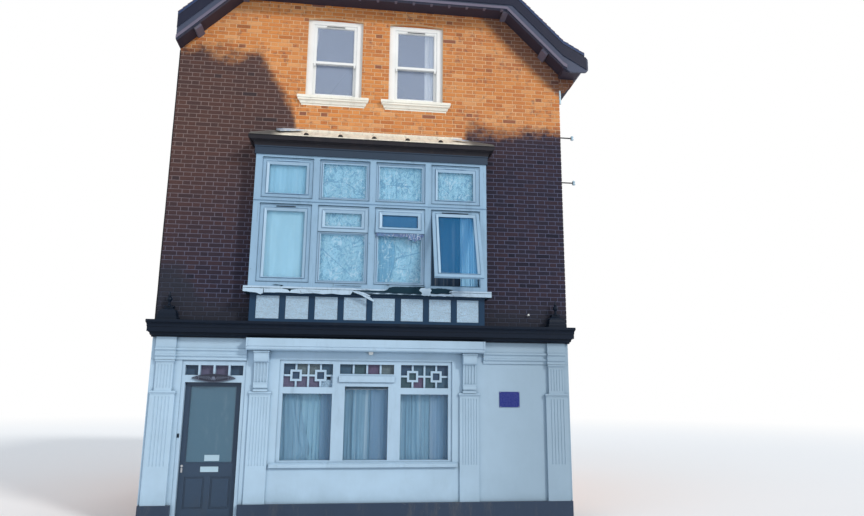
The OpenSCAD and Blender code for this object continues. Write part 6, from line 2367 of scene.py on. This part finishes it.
    def build(self) -> Pieces:
        """Builds the oriel's trim.

        Returns:
            The beads, the painted shadow lines, the leadwork and the slot.
        """
        pieces = (("glazing_beads", self.beads(), Palette.bead, "white_timber"),
                  ("open_joints", self.joints(), Palette.seam, "white_timber"),
                  ("roll_ends", self.rolls(), Palette.roll, "lead"),
                  ("lead_flaps", self.flaps(), Palette.flap, "lead"),
                  ("casement_slot", self.slot(), Palette.black, "black_timber"))
        return [shape.piece(name, finish, slot) for name, shape, finish, slot in pieces]


# ---------------------------------------------------------------- fittings


def build_fittings() -> Pieces:
    """Builds what is fixed to the front: plaque, bell, lamp, brackets, vents, sticker and ball fitting.

    Returns:
        The pieces.
    """
    y = FRONT
    zones = [Zone((1.9, y - 0.1, 1.6), (2.5, y + 0.01, 2.05), Palette.blue),
             Zone((-2.8, y - 0.1, 1.2), (-2.6, y + 0.2, 1.4), Palette.black),
             Zone((-0.1, y - 0.3, 2.4), (0.2, y + 0.1, 2.53), Palette.ivory),
             Zone((3.36, y, 5.3), (3.5, y + 0.2, 6.4), Palette.fitting),
             Zone((3.14, y, 5.3), (3.37, y + 0.2, 6.4), Palette.iron)]
    screws, slots, ball, sticker = (Shape() for _ in range(4))
    for x in (2.052, 2.346):
        for z in (1.714, 1.923):
            screws.turned([(0.0045, 0), (0.0045, 0.0012), (0.001, 0.0022)], (x, y - 0.008, z), (0, -1, 0), 12)
    for x, z, front, width in ((-0.68, 7.934, y + 0.047, 0.30), (0.68, 7.934, y + 0.047, 0.30),
                               (-1.3106, 4.674, -3.8775, 0.29)):
        slots.block((x - width / 2, front - 0.0015, z), (x + width / 2, front + 0.002, z + 0.015), 0.0008)
    bulb = [(0.016 * math.sin(math.radians(a)), 0.042 - 0.016 * math.cos(math.radians(a))) for a in range(15, 180, 15)]
    for outline in ([(0.013, 0), (0.013, 0.010), (0.007, 0.013), (0.007, 0.03)], bulb):
        ball.turned(outline, (2.52, y - 0.006, 3.13), (0, -1, 0), 20)
    sticker.block((-2.317, -3.4916, 0.915), (-2.107, -3.4908, 1.0), 0.0002)
    clips = Scatter("barge_clips", Template.CLIP, 0.03, 17)
    flat = Plane((0, -BACK - VERGE + 0.03, HIP_SOFFIT - 0.004), (0, 1, 0), (0, 0, -1))
    for i in range(-7, 8):
        clips.add(flat.at(i * 0.3, 0), (0.05, 0.07, 0.008), flat.turn, 0.5)
    return [recoat("front_fittings", "fixed_fittings", Palette.fitting, "fittings", *zones),
            screws.piece("plaque_screws", Palette.steel, "bright_metal"),
            slots.piece("vent_slots", Palette.black, "black_timber"),
            ball.piece("ball_fitting", Palette.ivory, "fittings"),
            sticker.piece("bare_sticker", Palette.fitting, "door_paint", Body.DOOR),
            clips.build(Palette.purlin, "dark_timber")]


# ---------------------------------------------------------------- stage


@dataclass
class Stage:
    """The floor, the backdrop, the lights and the camera.

    Attributes:
        eye: the camera's place.
        yaw: its turn about Z. pitch: its tilt. roll: its roll, all in degrees.
        lens: its focal length in millimetres, for a sensor 36 wide.
        far: half of the floor's side.
    """

    eye: Point = (-0.262, -13.652, 1.928)
    yaw: float = -7.02
    pitch: float = 11.62
    roll: float = 0.48
    lens: float = 27.08
    far: float = 120

    def camera(self) -> bpy.types.Object:
        """Sets up the camera.

        Returns:
            The camera.
        """
        psi, theta, rho = (math.radians(a) for a in (self.yaw, self.pitch, self.roll))
        ahead = Vector((-math.sin(psi) * math.cos(theta), math.cos(psi) * math.cos(theta), math.sin(theta)))
        right = Vector((math.cos(psi), math.sin(psi), 0))
        up = right.cross(ahead)
        x = right * math.cos(rho) + up * math.sin(rho)
        y = up * math.cos(rho) - right * math.sin(rho)
        data = bpy.data.cameras.new("view")
        data.lens, data.sensor_width, data.clip_end = self.lens, 36, 300
        camera = put("view", data)
        camera.matrix_world = Matrix.Translation(self.eye) @ Matrix((x, y, -ahead)).transposed().to_4x4()
        bpy.context.scene.camera = camera
        return camera

    def floor(self) -> bpy.types.Object:
        """Lays the pale floor, which fades to white for the camera.

        Returns:
            The floor.
        """
        far = self.far
        mesh = raw_mesh("floor", [(-far, -far, 0), (far, -far, 0), (far, far, 0), (-far, far, 0)], [(0, 1, 2, 3)])
        g = Graph("floor")
        away = g.math("SQRT", g.plus(g.times(g.x, g.x), g.times(g.y, g.y)))
        seen = g.add("ShaderNodeLightPath").outputs["Is Camera Ray"]
        glow = g.add("ShaderNodeEmission").outputs[0]
        both = g.add("ShaderNodeMixShader", g.times(g.step(away, 14.0, 45.0), seen), g.shader.outputs[0], glow)
        g.feed(g.out.inputs[0], both.outputs[0])
        mesh.materials.append(g.dress(Base_Color=(0.82, 0.84, 0.86), Roughness=0.9))
        return put("floor", mesh)

    def sun(self, name: str, toward: Point, strength: float, spread: float, colour: Colour) -> bpy.types.Object:
        """Sets up a distant soft lamp.

        Args:
            name: its name.
            toward: direction from the house to it.
            strength: its strength.
            spread: its apparent width in degrees.
            colour: its colour.

        Returns:
            The lamp.
        """
        data = bpy.data.lights.new(name, "SUN")
        data.energy, data.angle, data.color = strength, math.radians(spread), colour
        lamp = put(name, data)
        lamp.location = toward
        lamp.rotation_euler = (-Vector(toward)).to_track_quat("-Z", "Y").to_euler()
        return lamp

    def world(self) -> None:
        """Sets a white backdrop for the camera and a softer sky for the light."""
        world = bpy.data.worlds.new("studio")
        bpy.context.scene.world = world
        world.use_nodes = True
        tree = Tree(world.node_tree)
        sky = tree.add("ShaderNodeBackground", (0.86, 0.92, 1.0), 0.55).outputs[0]
        white = tree.add("ShaderNodeBackground", (1.0, 1.0, 1.0)).outputs[0]
        path = tree.add("ShaderNodeLightPath").outputs
        seen = path["Is Camera Ray"]
        for kind in ("Is Glossy Ray", "Is Transmission Ray"):
            seen = tree.add("ShaderNodeMath", seen, path[kind], operation="MAXIMUM").outputs[0]
        pick = tree.add("ShaderNodeMixShader", seen, sky, white)
        tree.add("ShaderNodeOutputWorld", pick.outputs[0])

    def build(self) -> None:
        """Builds the stage."""
        settings = bpy.context.scene.view_settings
        settings.view_transform, settings.look = "Standard", "None"
        self.world()
        self.camera()
        self.floor()
        self.sun("key", (12, -13, 10), 1.7, 9, (1.0, 0.97, 0.92))
        self.sun("fill", (-13, -11, 10), 0.4, 40, (0.92, 0.96, 1.0))
        self.sun("back", (2, 16, 12), 0.9, 30, (1, 1, 1))


def main() -> None:
    """Builds the house piece by piece."""
    logging.basicConfig(level=logging.INFO, format="%(message)s")
    dress_nodes()
    build_brickwork(Palette.brick)
    RoofTiles(Palette.tile).build()
    build_cloth()
    Panes().build()
    RottedSill().build()
    build_coats()
    build_edges()
    Crest().build()
    OrielTrim().build()
    build_fittings()
    Stage().build()
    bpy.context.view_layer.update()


if __name__ == "__main__":
    main()
